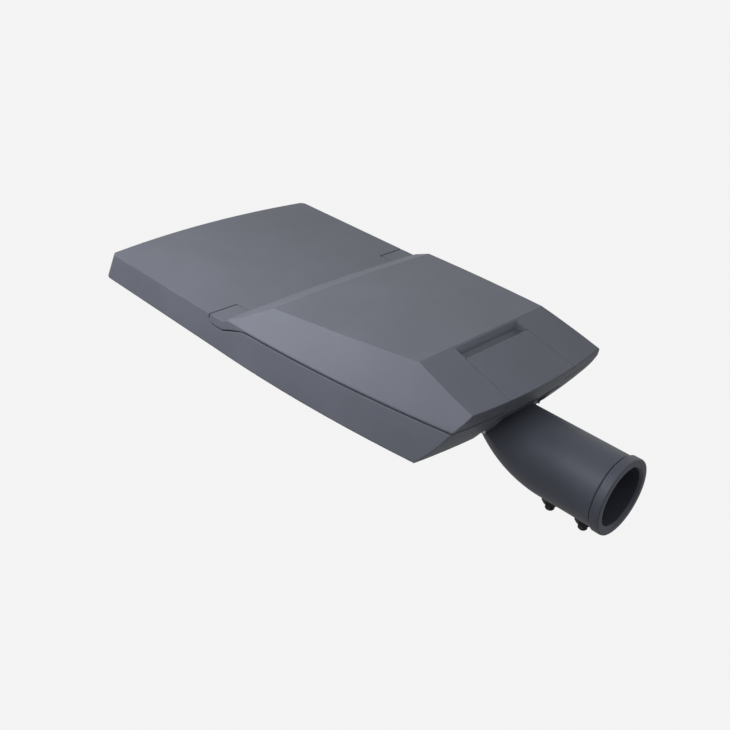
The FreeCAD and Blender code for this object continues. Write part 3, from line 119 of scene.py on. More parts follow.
class NodeSketch:
    """A small helper that lays out the nodes of one material or world."""

    def __init__(self, owner: Material | bpy.types.World, output: str = "ShaderNodeOutputMaterial") -> None:
        """Start with an output node alone.

        Args:
            owner: material or world to lay out.
            output: Blender's name of its output node.
        """
        self.owner = owner
        owner.use_nodes = True
        self.tree = owner.node_tree
        self.tree.nodes.clear()
        self.output = self.add(output)

    @cached_property
    def place(self) -> Socket:
        """Place in the object's own coordinates."""
        return self.add("ShaderNodeTexCoord").outputs["Object"]

    def add(self, kind: str, **settings: object) -> bpy.types.Node:
        """Add a node and set its properties and plain inputs.

        Args:
            kind: Blender's name of the node type.
            **settings: properties of the node, or inputs with spaces written as underscores.

        Returns:
            The new node.
        """
        node = self.tree.nodes.new(kind)
        for key, value in settings.items():
            if hasattr(node, key):
                setattr(node, key, value)
            else:
                self.feed(node.inputs[key.replace("_", " ")], value)
        return node

    def feed(self, socket: Socket, value: object) -> None:
        """Link a socket to an output, or set its plain value.

        Args:
            socket: the input to feed.
            value: an output, a colour or another plain value.
        """
        if isinstance(value, Socket):
            self.tree.links.new(value, socket)
        elif isinstance(value, tuple) and len(value) == 3 and socket.type == "RGBA":
            socket.default_value = (*value, 1.0)
        else:
            socket.default_value = value

    def wired(self, node: bpy.types.Node, *values: object) -> Socket:
        """Feed a node's inputs in their order.

        Args:
            node: the node.
            *values: plain values or outputs of other nodes.

        Returns:
            The node's first output.
        """
        for socket, value in zip(node.inputs, values):
            self.feed(socket, value)
        return node.outputs[0]

    def noise(self, size: float, detail: float = 2.0, stretch: Sequence[float] = (1, 1, 1)) -> Socket:
        """Noise whose features are about a given size.

        Args:
            size: feature size in metres.
            detail: octaves of finer noise.
            stretch: factor on each axis, below 1 for features drawn out along it.

        Returns:
            The noise value, from 0 to 1.
        """
        place = self.place
        if tuple(stretch) != (1, 1, 1):
            place = self.add("ShaderNodeMapping", Vector=place, Scale=tuple(stretch)).outputs["Vector"]
        return self.add("ShaderNodeTexNoise", Vector=place, Scale=1 / size, Detail=detail).outputs["Fac"]

    def ranged(self, value: Socket, low: float, high: float, start: float = 0.3, end: float = 0.7) -> Socket:
        """Map a noise value onto a range, with low where it is at start and high where it is at end."""
        return self.add("ShaderNodeMapRange", Value=value, From_Min=start, From_Max=end, To_Min=low,
                        To_Max=high).outputs["Result"]

    def blend(self, amount: object, first: object, second: object) -> Socket:
        """Blend two colours.

        Args:
            amount: share of the second colour.
            first: first colour or socket.
            second: second colour or socket.

        Returns:
            The blended colour.
        """
        node = self.add("ShaderNodeMix", data_type="RGBA")
        for index, value in ((0, amount), (6, first), (7, second)):
            self.feed(node.inputs[index], value)
        return node.outputs[2]

    def bump(self, height: Socket, depth: float, strength: float, edge: float = 0.0) -> Socket:
        """Bump the surface by a height.

        Args:
            height: height from 0 to 1.
            depth: depth of the bump in metres.
            strength: share of the bump.
            edge: radius in metres of the rounding that edges seem to have.

        Returns:
            The bumped normal.
        """
        node = self.add("ShaderNodeBump", Height=height, Distance=depth, Strength=strength)
        if edge > 0:
            self.feed(node.inputs["Normal"], self.add("ShaderNodeBevel", samples=6, Radius=edge).outputs["Normal"])
        return node.outputs["Normal"]

    def surface(self, **inputs: object) -> Material:
        """Finish the material with a Principled shader.

        Args:
            **inputs: the shader's inputs, with spaces written as underscores.

        Returns:
            The finished material.
        """
        shader = self.add("ShaderNodeBsdfPrincipled", **inputs)
        self.feed(self.output.inputs["Surface"], shader.outputs["BSDF"])
        return self.owner


@dataclass(frozen=True)
class Finish:
    """A finish with a name and a main colour."""

    name: str
    colour: Triple

    def sketch(self) -> NodeSketch:
        """Start the finish's node material."""
        return NodeSketch(bpy.data.materials.new(self.name))


@dataclass(frozen=True)
class Textured(Finish):
    """A fine grain over broad clouds of tone, as on moulded plastic or rubber."""

    roughness: float = 0.45
    metallic: float = 0.0
    lines: Triple = (1, 1, 1)
    sheen: float = 0.5
    glint: Triple = (1.0, 1.0, 1.0)
    grain: Pair = (0.35 * MM, 3)
    cloud: Pair = (18 * MM, 2)
    tones: Pair = (1.0, 0.86)
    shares: Pair = (0.0, 0.8)
    wear: Pair = (-0.05, 0.1)
    relief: Pair = (0.03 * MM, 0.3)
    edge: float = 0.4 * MM

    def tone(self, sketch: NodeSketch, grain: Socket) -> Socket:
        """Base colour, in clouds between the finish's two tones."""
        cloud = sketch.ranged(sketch.noise(*self.cloud), *self.shares)
        return sketch.blend(cloud, *(shade(self.colour, factor) for factor in self.tones))

    def material(self) -> Material:
        """Build the node material.

        Returns:
            The material.
        """
        sketch = self.sketch()
        grain = sketch.noise(*self.grain, self.lines)
        rough = sketch.ranged(grain, *(self.roughness + part for part in self.wear))
        return sketch.surface(Base_Color=self.tone(sketch, grain), Roughness=rough, Metallic=self.metallic,
                              Specular_IOR_Level=self.sheen, Specular_Tint=self.glint,
                              Normal=sketch.bump(grain, *self.relief, self.edge))


@dataclass(frozen=True)
class Steel(Textured):
    """Bright, plated or blackened steel with fine drawn lines."""

    roughness: float = 0.3
    metallic: float = 1.0
    lines: Triple = (1.0, 1.0, 0.06)
    grain: Pair = (0.25 * MM, 3)
    cloud: Pair = (7 * MM, 3)
    tones: Pair = (0.8, 1.0)
    shares: Pair = (0.1, 0.9)
    wear: Pair = (-0.06, 0.1)
    relief: Pair = (0.02 * MM, 0.25)
    edge: float = 0.3 * MM


@dataclass(frozen=True)
class PowderCoat(Textured):
    """Fine textured powder coat on a casting, with pale specks."""

    roughness: float = 0.5
    sheen: float = 0.8
    glint: Triple = (0.4, 0.42, 0.47)
    grain: Pair = (0.9 * MM, 2)
    cloud: Pair = (60 * MM, 3)
    tones: Pair = (0.9, 1.1)
    shares: Pair = (0.2, 0.8)
    wear: Pair = (-0.05, 0.07)
    relief: Pair = (0.12 * MM, 0.35)
    edge: float = 1.6 * MM

    def tone(self, sketch: NodeSketch, grain: Socket) -> Socket:
        """Base colour, in clouds between the finish's two tones and with pale specks."""
        specks = sketch.ranged(grain, 0.0, 0.35, 0.45, 0.75)
        return sketch.blend(specks, super().tone(sketch, grain), shade(self.colour, self.tones[1]))


@dataclass(frozen=True)
class ClearSheet(Finish):
    """Clear glass or acrylic with faint waviness."""

    ior: float = 1.5
    roughness: float = 0.02
    haze: float = 4 * MM
    ripple: float = 25 * MM

    def material(self) -> Material:
        """Build the node material.

        Returns:
            The material.
        """
        sketch = self.sketch()
        haze = sketch.noise(self.haze, 3)
        tint = sketch.blend(sketch.ranged(haze, 0.0, 0.5), self.colour, (0.98, 0.99, 0.99))
        rough = sketch.ranged(haze, self.roughness, self.roughness + 0.05)
        return sketch.surface(Base_Color=tint, Roughness=rough, Transmission_Weight=1.0, IOR=self.ior,
                              Normal=sketch.bump(sketch.noise(self.ripple, 2), 0.05 * MM, 0.05))


@dataclass(frozen=True)
class BoardMask(Finish):
    """Solder mask over an aluminium board, with the tracks showing through."""

    track: float = 0.5 * MM
    pitch: Pair = (27 * MM, 13 * MM)

    def material(self) -> Material:
        """Build the node material.

        Returns:
            The material.
        """
        sketch = self.sketch()
        tracks = sketch.add("ShaderNodeTexBrick", Vector=sketch.place, Scale=1.0, Mortar_Size=self.track,
                            Brick_Width=self.pitch[0], Row_Height=self.pitch[1], Color1=(1, 1, 1),
                            Color2=(1, 1, 1), Mortar=(0, 0, 0)).outputs["Fac"]
        return sketch.surface(Base_Color=sketch.blend(tracks, self.colour, shade(self.colour, 0.86)),
                              Roughness=sketch.ranged(sketch.noise(3 * MM), 0.32, 0.42),
                              Normal=sketch.bump(tracks, 0.03 * MM, 0.4))


class Finishes:
    """Every finish on the head, by the record's material slot."""

    PAINT = PowderCoat("Grey powder coat", (0.13, 0.138, 0.17))
    TABLE = {
        "housing_paint": PAINT,
        "cover_paint": PAINT,
        "flap_paint": PAINT,
        "spigot_paint": PowderCoat("Dark powder coat", (0.08, 0.087, 0.112), roughness=0.46),
        "black_steel": Steel("Black oxide steel", (0.02, 0.02, 0.023), 0.42, 0.6),
        "bright_steel": Steel("Stainless steel", (0.58, 0.58, 0.6), 0.28),
        "spring_steel": Steel("Spring strip", (0.64, 0.64, 0.65), 0.22, 1.0, (0.06, 1.0, 1.0)),
        "zinc_sheet": Steel("Zinc-plated sheet", (0.62, 0.64, 0.66), 0.34, 1.0, (0.3, 1.0, 1.0)),
        "clear_glass": ClearSheet("Toughened glass", (0.93, 0.97, 0.96)),
        "lens_clear": ClearSheet("Clear acrylic", (0.96, 0.97, 0.97), 1.49, 0.03),
        "board_white": BoardMask("White solder mask", (0.82, 0.82, 0.79)),
        "led_yellow": Textured("Phosphor", (0.85, 0.62, 0.08), 0.4),
        "driver_case": Textured("Light grey case", (0.66, 0.68, 0.7), 0.42),
        "white_plastic": Textured("White plastic", (0.78, 0.78, 0.75), 0.38),
        "black_plastic": Textured("Black plastic", (0.02, 0.02, 0.022), 0.5),
        "seal_rubber": Textured("Black silicone", (0.022, 0.022, 0.024), 0.68, sheen=0.35),
    }

    def __init__(self) -> None:
        """Start with no material built."""
        self.built: dict[str, Material] = {}

    def get(self, slot: str) -> Material:
        """The material for one of the record's slots, built once.

        Args:
            slot: name of the slot.

        Returns:
            The material.
        """
        finish = self.TABLE[slot]
        if finish.name not in self.built:
            self.built[finish.name] = finish.material()
        return self.built[finish.name]


@dataclass(frozen=True)
class Spot:
    """A place on the head, in millimetres from the middle of the socket's mouth."""

    x: float
    y: float
    z: float

    def vector(self) -> Vector:
        """The place in metres."""
        return Vector((self.x, self.y, self.z)) * MM


def bar(sides: int, radius: float, low: float, high: float, edge: float = 0.0) -> Mesh:
    """An upright bar with flat or round sides.

    Args:
        sides: number of sides.
        radius: distance of the corners from the axis.
        low: lower end.
        high: upper end.
        edge: width of the rounding along its edges.

    Returns:
        The bar, about the z axis.
    """
    mesh = bmesh.new()
    ring = bmesh.ops.create_circle(mesh, cap_ends=True, segments=sides, radius=radius,
                                   matrix=Matrix.Translation((0, 0, low)))
    faces = list({face for vert in ring["verts"] for face in vert.link_faces})
    grown = bmesh.ops.extrude_face_region(mesh, geom=faces)
    bmesh.ops.translate(mesh, verts=only(grown["geom"], bmesh.types.BMVert), vec=(0, 0, high - low))
    bmesh.ops.recalc_face_normals(mesh, faces=mesh.faces)
    if edge > 0:
        soften(mesh, edge)
    return mesh


def block(low: Vector, high: Vector, edge: float = 0.0, segments: int = 2) -> Mesh:
    """A block between two corners, with rounded edges.

    Args:
        low: lowest corner.
        high: highest corner.
        edge: width of the rounding.
        segments: steps in the rounding.

    Returns:
        The block.
    """
    mesh = bmesh.new()
    bmesh.ops.create_cube(mesh, size=1.0)
    bmesh.ops.scale(mesh, verts=mesh.verts, vec=high - low)
    bmesh.ops.translate(mesh, verts=mesh.verts, vec=(low + high) / 2)
    if edge > 0:
        soften(mesh, edge, segments)
    return mesh


def turned(profile: Section, steps: int = 40) -> Mesh:
    """A turned solid.

    Args:
        profile: radius and height of each corner of the section, in order. It starts and ends on
            the axis, or closes on itself for a ring.
        steps: steps round the axis.

    Returns:
        The solid, about the z axis.
    """
    mesh = bmesh.new()
    corners = [mesh.verts.new((radius, 0, height)) for radius, height in profile]
    edges = [mesh.edges.new(pair) for pair in zip(corners, corners[1:])]
    if profile[0][0] > 0:
        edges.append(mesh.edges.new((corners[-1], corners[0])))
    bmesh.ops.spin(mesh, geom=corners + edges, cent=(0, 0, 0), axis=(0, 0, 1), angle=2 * math.pi,
                   steps=steps, use_merge=True, use_duplicate=False)
    bmesh.ops.remove_doubles(mesh, verts=mesh.verts, dist=0.0005 * MM)
    bmesh.ops.recalc_face_normals(mesh, faces=mesh.faces)
    return mesh


def bevel(mesh: Mesh, edges: Edges, width: float, segments: int) -> None:
    """Round chosen edges of a mesh by a width, in a number of steps."""
    bmesh.ops.bevel(mesh, geom=edges, offset=width, offset_type="OFFSET", segments=segments, profile=0.5,
                    affect="EDGES", clamp_overlap=True, material=-1)


def soften(mesh: Mesh, width: float, segments: int = 2, angle: float = 30.0) -> None:
    """Round the edges of a mesh that turn by more than an angle.

    Args:
        mesh: mesh to change.
        width: width of the rounding.
        segments: steps in the rounding.
        angle: angle in degrees.
    """
    sharp = [edge for edge in mesh.edges
             if len(edge.link_faces) == 2 and edge.calc_face_angle(0.0) > math.radians(angle)]
    bevel(mesh, sharp, width, segments)


def placed(mesh: Mesh, seat: Vector, direction: Vector = UP) -> Mesh:
    """Move a mesh from the z axis onto a line.

    Args:
        mesh: mesh to move.
        seat: where its zero goes.
        direction: where its z axis points.

    Returns:
        The same mesh.
    """
    turn = direction.to_track_quat("Z", "Y").to_matrix().to_4x4()
    bmesh.ops.transform(mesh, matrix=Matrix.Translation(seat) @ turn, verts=mesh.verts)
    return mesh


def turn_about_z(mesh: Mesh, angle: float) -> None:
    """Turn a mesh about the z axis by an angle in radians."""
    bmesh.ops.rotate(mesh, verts=mesh.verts, cent=(0, 0, 0), matrix=Matrix.Rotation(angle, 3, "Z"))


def joined(meshes: Iterable[Mesh]) -> Mesh:
    """Gather separate meshes in one.

    Args:
        meshes: meshes to gather, which are freed.

    Returns:
        One mesh that holds them all.
    """
    whole = bmesh.new()
    for mesh in meshes:
        data = bpy.data.meshes.new("part")
        mesh.to_mesh(data)
        mesh.free()
        whole.from_mesh(data)
        bpy.data.meshes.remove(data)
    return whole


def combined(base: Mesh, tools: Iterable[Mesh], how: Cut) -> Mesh:
    """Add solids to a solid, or cut them out of it.

    Args:
        base: the solid, which is freed.
        tools: the other solids, which are freed.
        how: what is done with them.

    Returns:
        The new solid.
    """
    objects = []
    for mesh in (base, *tools):
        data = bpy.data.meshes.new("shape")
        mesh.to_mesh(data)
        mesh.free()
        objects.append(stand("shape", data))
    for tool in objects[1:]:
        step = objects[0].modifiers.new("step", "BOOLEAN")
        step.operation = how.value
        step.solver = "EXACT"
        step.object = tool
    bpy.context.view_layer.update()
    result = bmesh.new()
    result.from_object(objects[0], bpy.context.evaluated_depsgraph_get())
    for obj in objects:
        data = obj.data
        bpy.data.objects.remove(obj)
        bpy.data.meshes.remove(data)
    bmesh.ops.remove_doubles(result, verts=result.verts, dist=0.001 * MM)
    return result


def hexagon(flats: float, low: float, high: float, cone: Section) -> Mesh:
    """A hexagon bar from low to high, whose corners are turned off by the section of a cone."""
    return combined(bar(6, flats / HEXAGON, low, high), [turned(cone, 48)], Cut.COMMON)


@dataclass(frozen=True)
class Thread:
    """A rolled thread, drawn as close rings."""

    radius: float
    pitch: float
    depth: float = 0.06

    def profile(self, low: float, high: float) -> Section:
        """Section of the thread.

        Args:
            low: first height.
            high: last height.

        Returns:
            Radius and height of each crest and root.
        """
        root = self.radius * (1 - 2 * self.depth)
        turns = max(1, int((high - low) / self.pitch))
        step = (high - low) / turns
        points = [(root, low)]
        for i in range(turns):
            start = low + i * step
            points += [(self.radius, start + 0.3 * step), (self.radius, start + 0.5 * step)]
            points.append((root, start + 0.95 * step))
        return points


@dataclass(frozen=True)
class Screw:
    """A machine screw, made along +Z with the seat of its head at zero."""

    shank: float
    head: float
    height: float
    pitch: float
    key: float = 0.0

    def mesh(self, reach: float) -> Mesh:
        """Make the screw, with a socket in its head or, without a key size, a hexagon head.

        Args:
            reach: length under the head.

        Returns:
            The screw, a closed solid.
        """
        chamfer = 0.25 * self.pitch + 0.1 * MM
        thread = Thread(self.shank, self.pitch).profile(0.6 * self.pitch, reach - chamfer)
        neck = [(0.0, -0.3 * self.height), (0.95 * self.shank, -0.3 * self.height), (0.95 * self.shank, 0.0)]
        shank = turned(neck + thread + [(0.75 * self.shank, reach), (0.0, reach)], 28)
        return joined([shank, self.socket_head() if self.key > 0 else self.hexagon_head()])

    def socket_head(self) -> Mesh:
        """Domed head with a hexagon socket.

        Returns:
            The head.
        """
        size, top = self.head, -self.height
        dome = [(0.0, top), (0.55 * size, top), (0.8 * size, 0.84 * top), (0.95 * size, 0.6 * top),
                (size, 0.35 * top), (size, 0.08 * top), (0.96 * size, 0.0), (0.0, 0.0)]
        socket = bar(6, self.key / 2 / HEXAGON, 1.3 * top, 0.42 * top)
        return combined(turned(dome, 36), [socket], Cut.AWAY)

    def hexagon_head(self) -> Mesh:
        """Hexagon head with rounded corners and a bearing face.

        Returns:
            The head.
        """
        size, top = self.head, -self.height
        corner = size / HEXAGON
        cone = [(0.0, top), (0.92 * size, top), (1.02 * corner, 0.8 * top), (1.02 * corner, 0.02 * top),
                (0.0, 0.02 * top)]
        face = turned([(0.0, 0.1 * top), (0.94 * size, 0.1 * top), (0.94 * size, 0.0), (0.0, 0.0)], 36)
        return joined([hexagon(size, top, 0.06 * top, cone), face])


@dataclass(frozen=True)
class Nut:
    """A hexagon nut, made along +Z from zero, with its thread's bore."""

    half_flats: float
    bore: float

    def mesh(self, height: float) -> Mesh:
        """Make the nut.

        Args:
            height: height of the nut.

        Returns:
            The nut, a closed solid.
        """
        flats = 0.94 * self.half_flats
        corner = self.half_flats / HEXAGON
        cone = [(self.bore, 0.0), (flats, 0.0), (1.02 * corner, 0.18 * height),
                (1.02 * corner, 0.82 * height), (flats, height), (self.bore, height)]
        return hexagon(self.half_flats, 0.0, height, cone)


class Workshop:
    """Turns meshes into finished pieces that ride on the head's bodies."""

    def __init__(self) -> None:
        """Start with no finish built and the record's slots by node."""
        self.finishes = Finishes()
        self.slots = {s["node"]: s["material_slot"] for s in frame["record"]["subparts"]}

    def dress_nodes(self) -> None:
        """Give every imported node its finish."""
        for name, obj in frame["nodes"].items():
            obj.data.materials.clear()
            obj.data.materials.append(self.finishes.get(self.slots[name]))
            log.info("dressed %s as %s", name, self.slots[name])

    def copy_of(self, node: str) -> Mesh:
        """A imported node's mesh with its triangles joined.

        Args:
            node: name of the node.

        Returns:
            A new mesh in the row frame.
        """
        mesh = bmesh.new()
        mesh.from_mesh(frame["nodes"][node].data)
        bmesh.ops.remove_doubles(mesh, verts=mesh.verts, dist=0.004 * MM)
        bmesh.ops.dissolve_degenerate(mesh, dist=0.002 * MM, edges=mesh.edges)
        return mesh

    def solids(self, node: str) -> list[tuple[Vector, Vector]]:
        """Boxes of a node's separate solids, in order along x and then y.

        Args:
            node: name of the node.

        Returns:
            Lowest and highest corner of each solid.
        """
        mesh = self.copy_of(node)
        left = set(mesh.verts)
        boxes = []
        while left:
            heap = [left.pop()]
            solid = list(heap)
            while heap:
                for edge in heap.pop().link_edges:
                    for vert in left.intersection(edge.verts):
                        left.remove(vert)
                        heap.append(vert)
                        solid.append(vert)
            boxes.append(tuple(Vector([end(vert.co[i] for vert in solid) for i in range(3)]) for end in (min, max)))
        mesh.free()
        return sorted(boxes, key=lambda box: (round(box[0].x, 5), round(box[0].y, 5)))

    def finish(self, mesh: Mesh, name: str, body: Body, stands_for: Iterable[str] = (),
               sharp: float = 30.0, slot: str = "") -> None:
        """Make a finished piece of a mesh.

        Args:
            mesh: the shape, in the row frame, which is freed.
            name: name of the piece.
            body: body that it rides on.
            stands_for: nodes that it replaces.
            sharp: angle in degrees past which an edge stays crisp.
            slot: material slot, or that of the first node it stands for.
        """
        slot = slot or self.slots[tuple(stands_for)[0]]
        data = bpy.data.meshes.new(name)
        mesh.to_mesh(data)
        mesh.free()
        data.shade_smooth()
        data.set_sharp_from_angle(angle=math.radians(sharp))
        data.materials.append(self.finishes.get(slot))
        obj = stand(name, data)
        obj.modifiers.new("flat faces first", "WEIGHTED_NORMAL").keep_sharp = True
        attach(obj, body.value)
        if stands_for:
            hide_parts(*stands_for)
        log.info("made %s with %d faces", name, len(data.polygons))


@dataclass
class Assembly:
    """A sub-assembly whose pieces one workshop finishes."""

    shop: Workshop

    def build(self) -> None:
        """Make the sub-assembly's pieces."""
        raise NotImplementedError


@dataclass
class Castings(Assembly):
    """The painted castings and sheet pieces that keep the solids' own shapes."""

    crisp: float = 10.5
    rounding: float = 0.45 * MM
    edge: float = 0.7 * MM
    room: float = 2.4
    long_edge: float = 9.0 * MM
    flatness: float = 0.15
    corner: float = 22.0
    flap_front: float = -168.1 * MM
    flap_half: float = 50.0 * MM
    flap_round: float = 2.6 * MM
    finger_front: float = -15.6 * MM
    finger_rear: float = -8.0 * MM
    finger_round: float = 3.2 * MM
    beside: float = 2.0 * MM
    square: float = 40.0
    steep: float = 0.75

    def round_upright(self, mesh: Mesh, front: float, rear: float, convex: bool, radius: float) -> None:
        """Round the upright corners beside the latch flap.

        Args:
            mesh: the casting, which is changed.
            front: foremost place of the corners, from the front of the flap.
            rear: rearmost place of the corners, from the front of the flap.
            convex: whether they stand out or lie inside a pocket.
            radius: radius of the rounding.
        """
        chosen = []
        for edge in mesh.edges:
            ends = [vert.co for vert in edge.verts]
            run = ends[1] - ends[0]
            beside = all(front < spot.x - self.flap_front < rear and abs(abs(spot.y) - self.flap_half) < self.beside
                         for spot in ends)
            if (beside and abs(run.z) > self.steep * run.length and edge.is_convex == convex
                    and edge.calc_face_angle(0.0) > math.radians(self.square)):
                chosen.append(edge)
        bevel(mesh, chosen, radius, 5)

    def break_edges(self, mesh: Mesh) -> None:
        """Break the long outer edges of a casting a little, and round its corners beside the flap.

        Args:
            mesh: the casting, which is changed.
        """
        bmesh.ops.dissolve_limit(mesh, angle_limit=math.radians(self.flatness), use_dissolve_boundaries=False,
                                 verts=mesh.verts, edges=mesh.edges, delimit=set())
        self.round_upright(mesh, self.finger_front - MM, self.finger_rear, False, self.finger_round)
        self.round_upright(mesh, -MM, MM, True, self.flap_round)
        chosen = []
        for edge in mesh.edges:
            sharp = edge.is_convex and edge.calc_face_angle(0.0) > math.radians(self.corner)
            near = [other.calc_length() for vert in edge.verts for other in vert.link_edges]
            if sharp and edge.calc_length() > self.long_edge and min(near) > self.room * self.edge:
                chosen.append(edge)
        bevel(mesh, chosen, self.edge, 2)

    def build(self) -> None:
        """Make each piece from its solid."""
        for node, body in (("housing", Body.HEAD), ("gear_cover", Body.COVER), ("latch_flap", Body.LATCH)):
            mesh = self.shop.copy_of(node)
            self.break_edges(mesh)
            self.shop.finish(mesh, node + "_cast", body, [node], self.crisp)
        for node, body in (("glass_frame", Body.HEAD), ("gear_tray", Body.HEAD), ("cover_gasket", Body.HEAD),
                           ("glass_gasket", Body.HEAD), ("duct_grommet", Body.HEAD), ("latch_spring", Body.LATCH),
                           ("spring_rivets", Body.LATCH), ("tilt_washers", Body.SPIGOT)):
            mesh = self.shop.copy_of(node)
            soften(mesh, self.rounding, 2, 40.0)
            self.shop.finish(mesh, node + "_soft", body, [node], 40.0)


@dataclass
class Spigot(Assembly):
    """Mast spigot: socket, collar, bent neck, bosses and clamp screws."""

    tube: float = 39.2 * MM
    socket: float = 31.5 * MM
    depth: float = 95.6 * MM
    collar: float = 41.0 * MM
    collar_length: float = 10.0 * MM
    groove: float = 1.5 * MM
    groove_depth: float = 0.9 * MM
    lip: float = 0.8 * MM
    mouth: float = 2.6 * MM
    neck_start: float = -73.6 * MM
    neck_root: float = 4.0 * MM
    neck_bend: float = 80.0 * MM
    neck_angle: float = 60.0
    pivot: Spot = Spot(-144.6, 0.0, 29.2)
    pivot_boss: float = 12.0 * MM
    pivot_hole: float = 5.05 * MM
    lock: Spot = Spot(-166.6, 0.0, 25.2)
    lock_boss: float = 9.0 * MM
    lock_hole: float = 4.05 * MM
    knuckle: float = 39.5 * MM
    boss_length: float = 22.0 * MM
    hole_length: float = 14.0 * MM
    way_start: Spot = Spot(-84.6, 0.0, 5.5)
    way: float = 11.0 * MM
    clamps: tuple[Spot, ...] = (Spot(-32.1, 0.0, -39.2), Spot(-72.1, 0.0, -39.2))
    pad: float = 10.0 * MM
    pad_height: float = 2.0 * MM
    pad_root: float = 4.0 * MM
    clamp_screw: float = 5.0 * MM
    steps: int = 72

    def ring(self, mesh: Mesh, x: float) -> Edges:
        """Lay a capped ring of the tube's size across the socket's axis.

        Args:
            mesh: mesh to lay it in.
            x: its place along the axis.

        Returns:
            The ring's edges.
        """
        across = Matrix.Translation((x, 0, 0)) @ Matrix.Rotation(math.pi / 2, 4, "Y")
        verts = bmesh.ops.create_circle(mesh, cap_ends=True, segments=self.steps, radius=self.tube,
                                        matrix=across)["verts"]
        return list({edge for vert in verts for edge in vert.link_edges})

    def drawn(self, mesh: Mesh, edges: Edges, by: float,
              factor: float) -> tuple[list[bmesh.types.BMVert], Edges]:
        """Draw a ring out along the socket's axis.

        Args:
            mesh: mesh that holds the ring.
            edges: the ring's edges.
            by: how far it is drawn.
            factor: growth of its radius.

        Returns:
            Corners and edges of the new ring.
        """
        grown = bmesh.ops.extrude_edge_only(mesh, edges=edges)["geom"]
        verts = only(grown, bmesh.types.BMVert)
        bmesh.ops.translate(mesh, verts=verts, vec=(by, 0, 0))
        bmesh.ops.scale(mesh, verts=verts, vec=(1, factor, factor))
        return verts, only(grown, bmesh.types.BMEdge)

    def neck(self) -> Mesh:
        """Neck that sweeps up below and runs on straight above.

        Returns:
            The neck.
        """
        mesh = bmesh.new()
        edges = self.ring(mesh, self.neck_start + self.neck_root)
        verts, edges = self.drawn(mesh, edges, -self.neck_root, 1.0)
        bent = bmesh.ops.spin(mesh, geom=verts + edges, cent=(self.neck_start, 0, self.neck_bend),
                              axis=(0, 1, 0), angle=math.radians(self.neck_angle), steps=24)
        bmesh.ops.contextual_create(mesh, geom=only(bent["geom_last"], bmesh.types.BMEdge))
        bmesh.ops.recalc_face_normals(mesh, faces=mesh.faces)
        straight = bar(self.steps, self.tube * 1.0002, -10 * MM, 0.2)
        turn_about_z(straight, math.pi / self.steps)
        placed(straight, Vector((0, 0, 0)), Vector((-1, 0, 0)))
        return combined(mesh, [straight], Cut.COMMON)

    def socket_tube(self) -> Mesh:
        """Tube, collar and bore in one closed skin.

        Returns:
            The tube.
        """
        mesh = bmesh.new()
        edges = self.ring(mesh, self.neck_start)
        foot, lip = -self.collar_length, self.lip
        floor = self.tube - self.groove_depth
        flare = self.socket + self.mouth
        stations = [(foot - self.groove, self.tube), (foot - 0.9 * self.groove, floor), (foot, floor),
                    (foot, self.collar - 0.5 * MM), (foot + 0.5 * MM, self.collar), (-2.2 * lip, self.collar),
                    (-0.7 * lip, self.collar - 0.5 * lip), (0.0, self.collar - 1.7 * lip), (0.0, flare),
                    (-0.3 * MM, flare - 0.6 * MM), (-self.mouth, self.socket), (-self.depth, self.socket)]
        place, radius = self.neck_start, self.tube
        for x, wide in stations:
            edges = self.drawn(mesh, edges, x - place, wide / radius)[1]
            place, radius = x, wide
        bmesh.ops.contextual_create(mesh, geom=edges)
        bmesh.ops.recalc_face_normals(mesh, faces=mesh.faces)
        return mesh

    def crosswise(self, point: Spot, sides: int, size: float, inset: float, length: float) -> list[Mesh]:
        """Two bars along y, one on each side of the knuckle.

        Args:
            point: the bars' axis.
            sides: number of sides of a bar.
            size: radius of a bar.
            inset: how far inside the knuckle a bar starts.
            length: length of a bar.

        Returns:
            Both bars.
        """
        bars = []
        for side in (-1, 1):
            seat = point.vector() + Vector((0, side * (self.knuckle - inset), 0))
            bars.append(placed(bar(sides, size, 0.0, length), seat, side * ACROSS))
        return bars

    def bosses(self) -> list[Mesh]:
        """Bosses for the tilt screws and pads for the clamp screws.

        Returns:
            The solids to add.
        """
        shapes = self.crosswise(self.pivot, 40, self.pivot_boss, self.boss_length, self.boss_length)
        shapes += self.crosswise(self.lock, 40, self.lock_boss, self.boss_length, self.boss_length)
        for point in self.clamps:
            low = point.vector() - Vector((self.pad, self.pad, self.pad_height))
            high = point.vector() + Vector((self.pad, self.pad, self.pad_root))
            shapes.append(block(low, high, 0.7 * MM, 3))
        return shapes

    def hollows(self) -> list[Mesh]:
        """Cable way and screw holes.

        Returns:
            The solids to cut away.
        """
        start = self.way_start.vector()
        along = self.pivot.vector() - start
        shapes = [placed(bar(40, self.way, 0.0, along.length + 60 * MM), start, along)]
        for point, size in ((self.pivot, self.pivot_hole), (self.lock, self.lock_hole)):
            shapes += self.crosswise(point, 32, size, self.hole_length, self.hole_length + 2 * MM)
        for point in self.clamps:
            seat = point.vector() - UP * (self.pad_height + MM)
            shapes.append(placed(bar(32, self.clamp_screw + 0.05 * MM, 0.0, 20 * MM), seat))
        return shapes

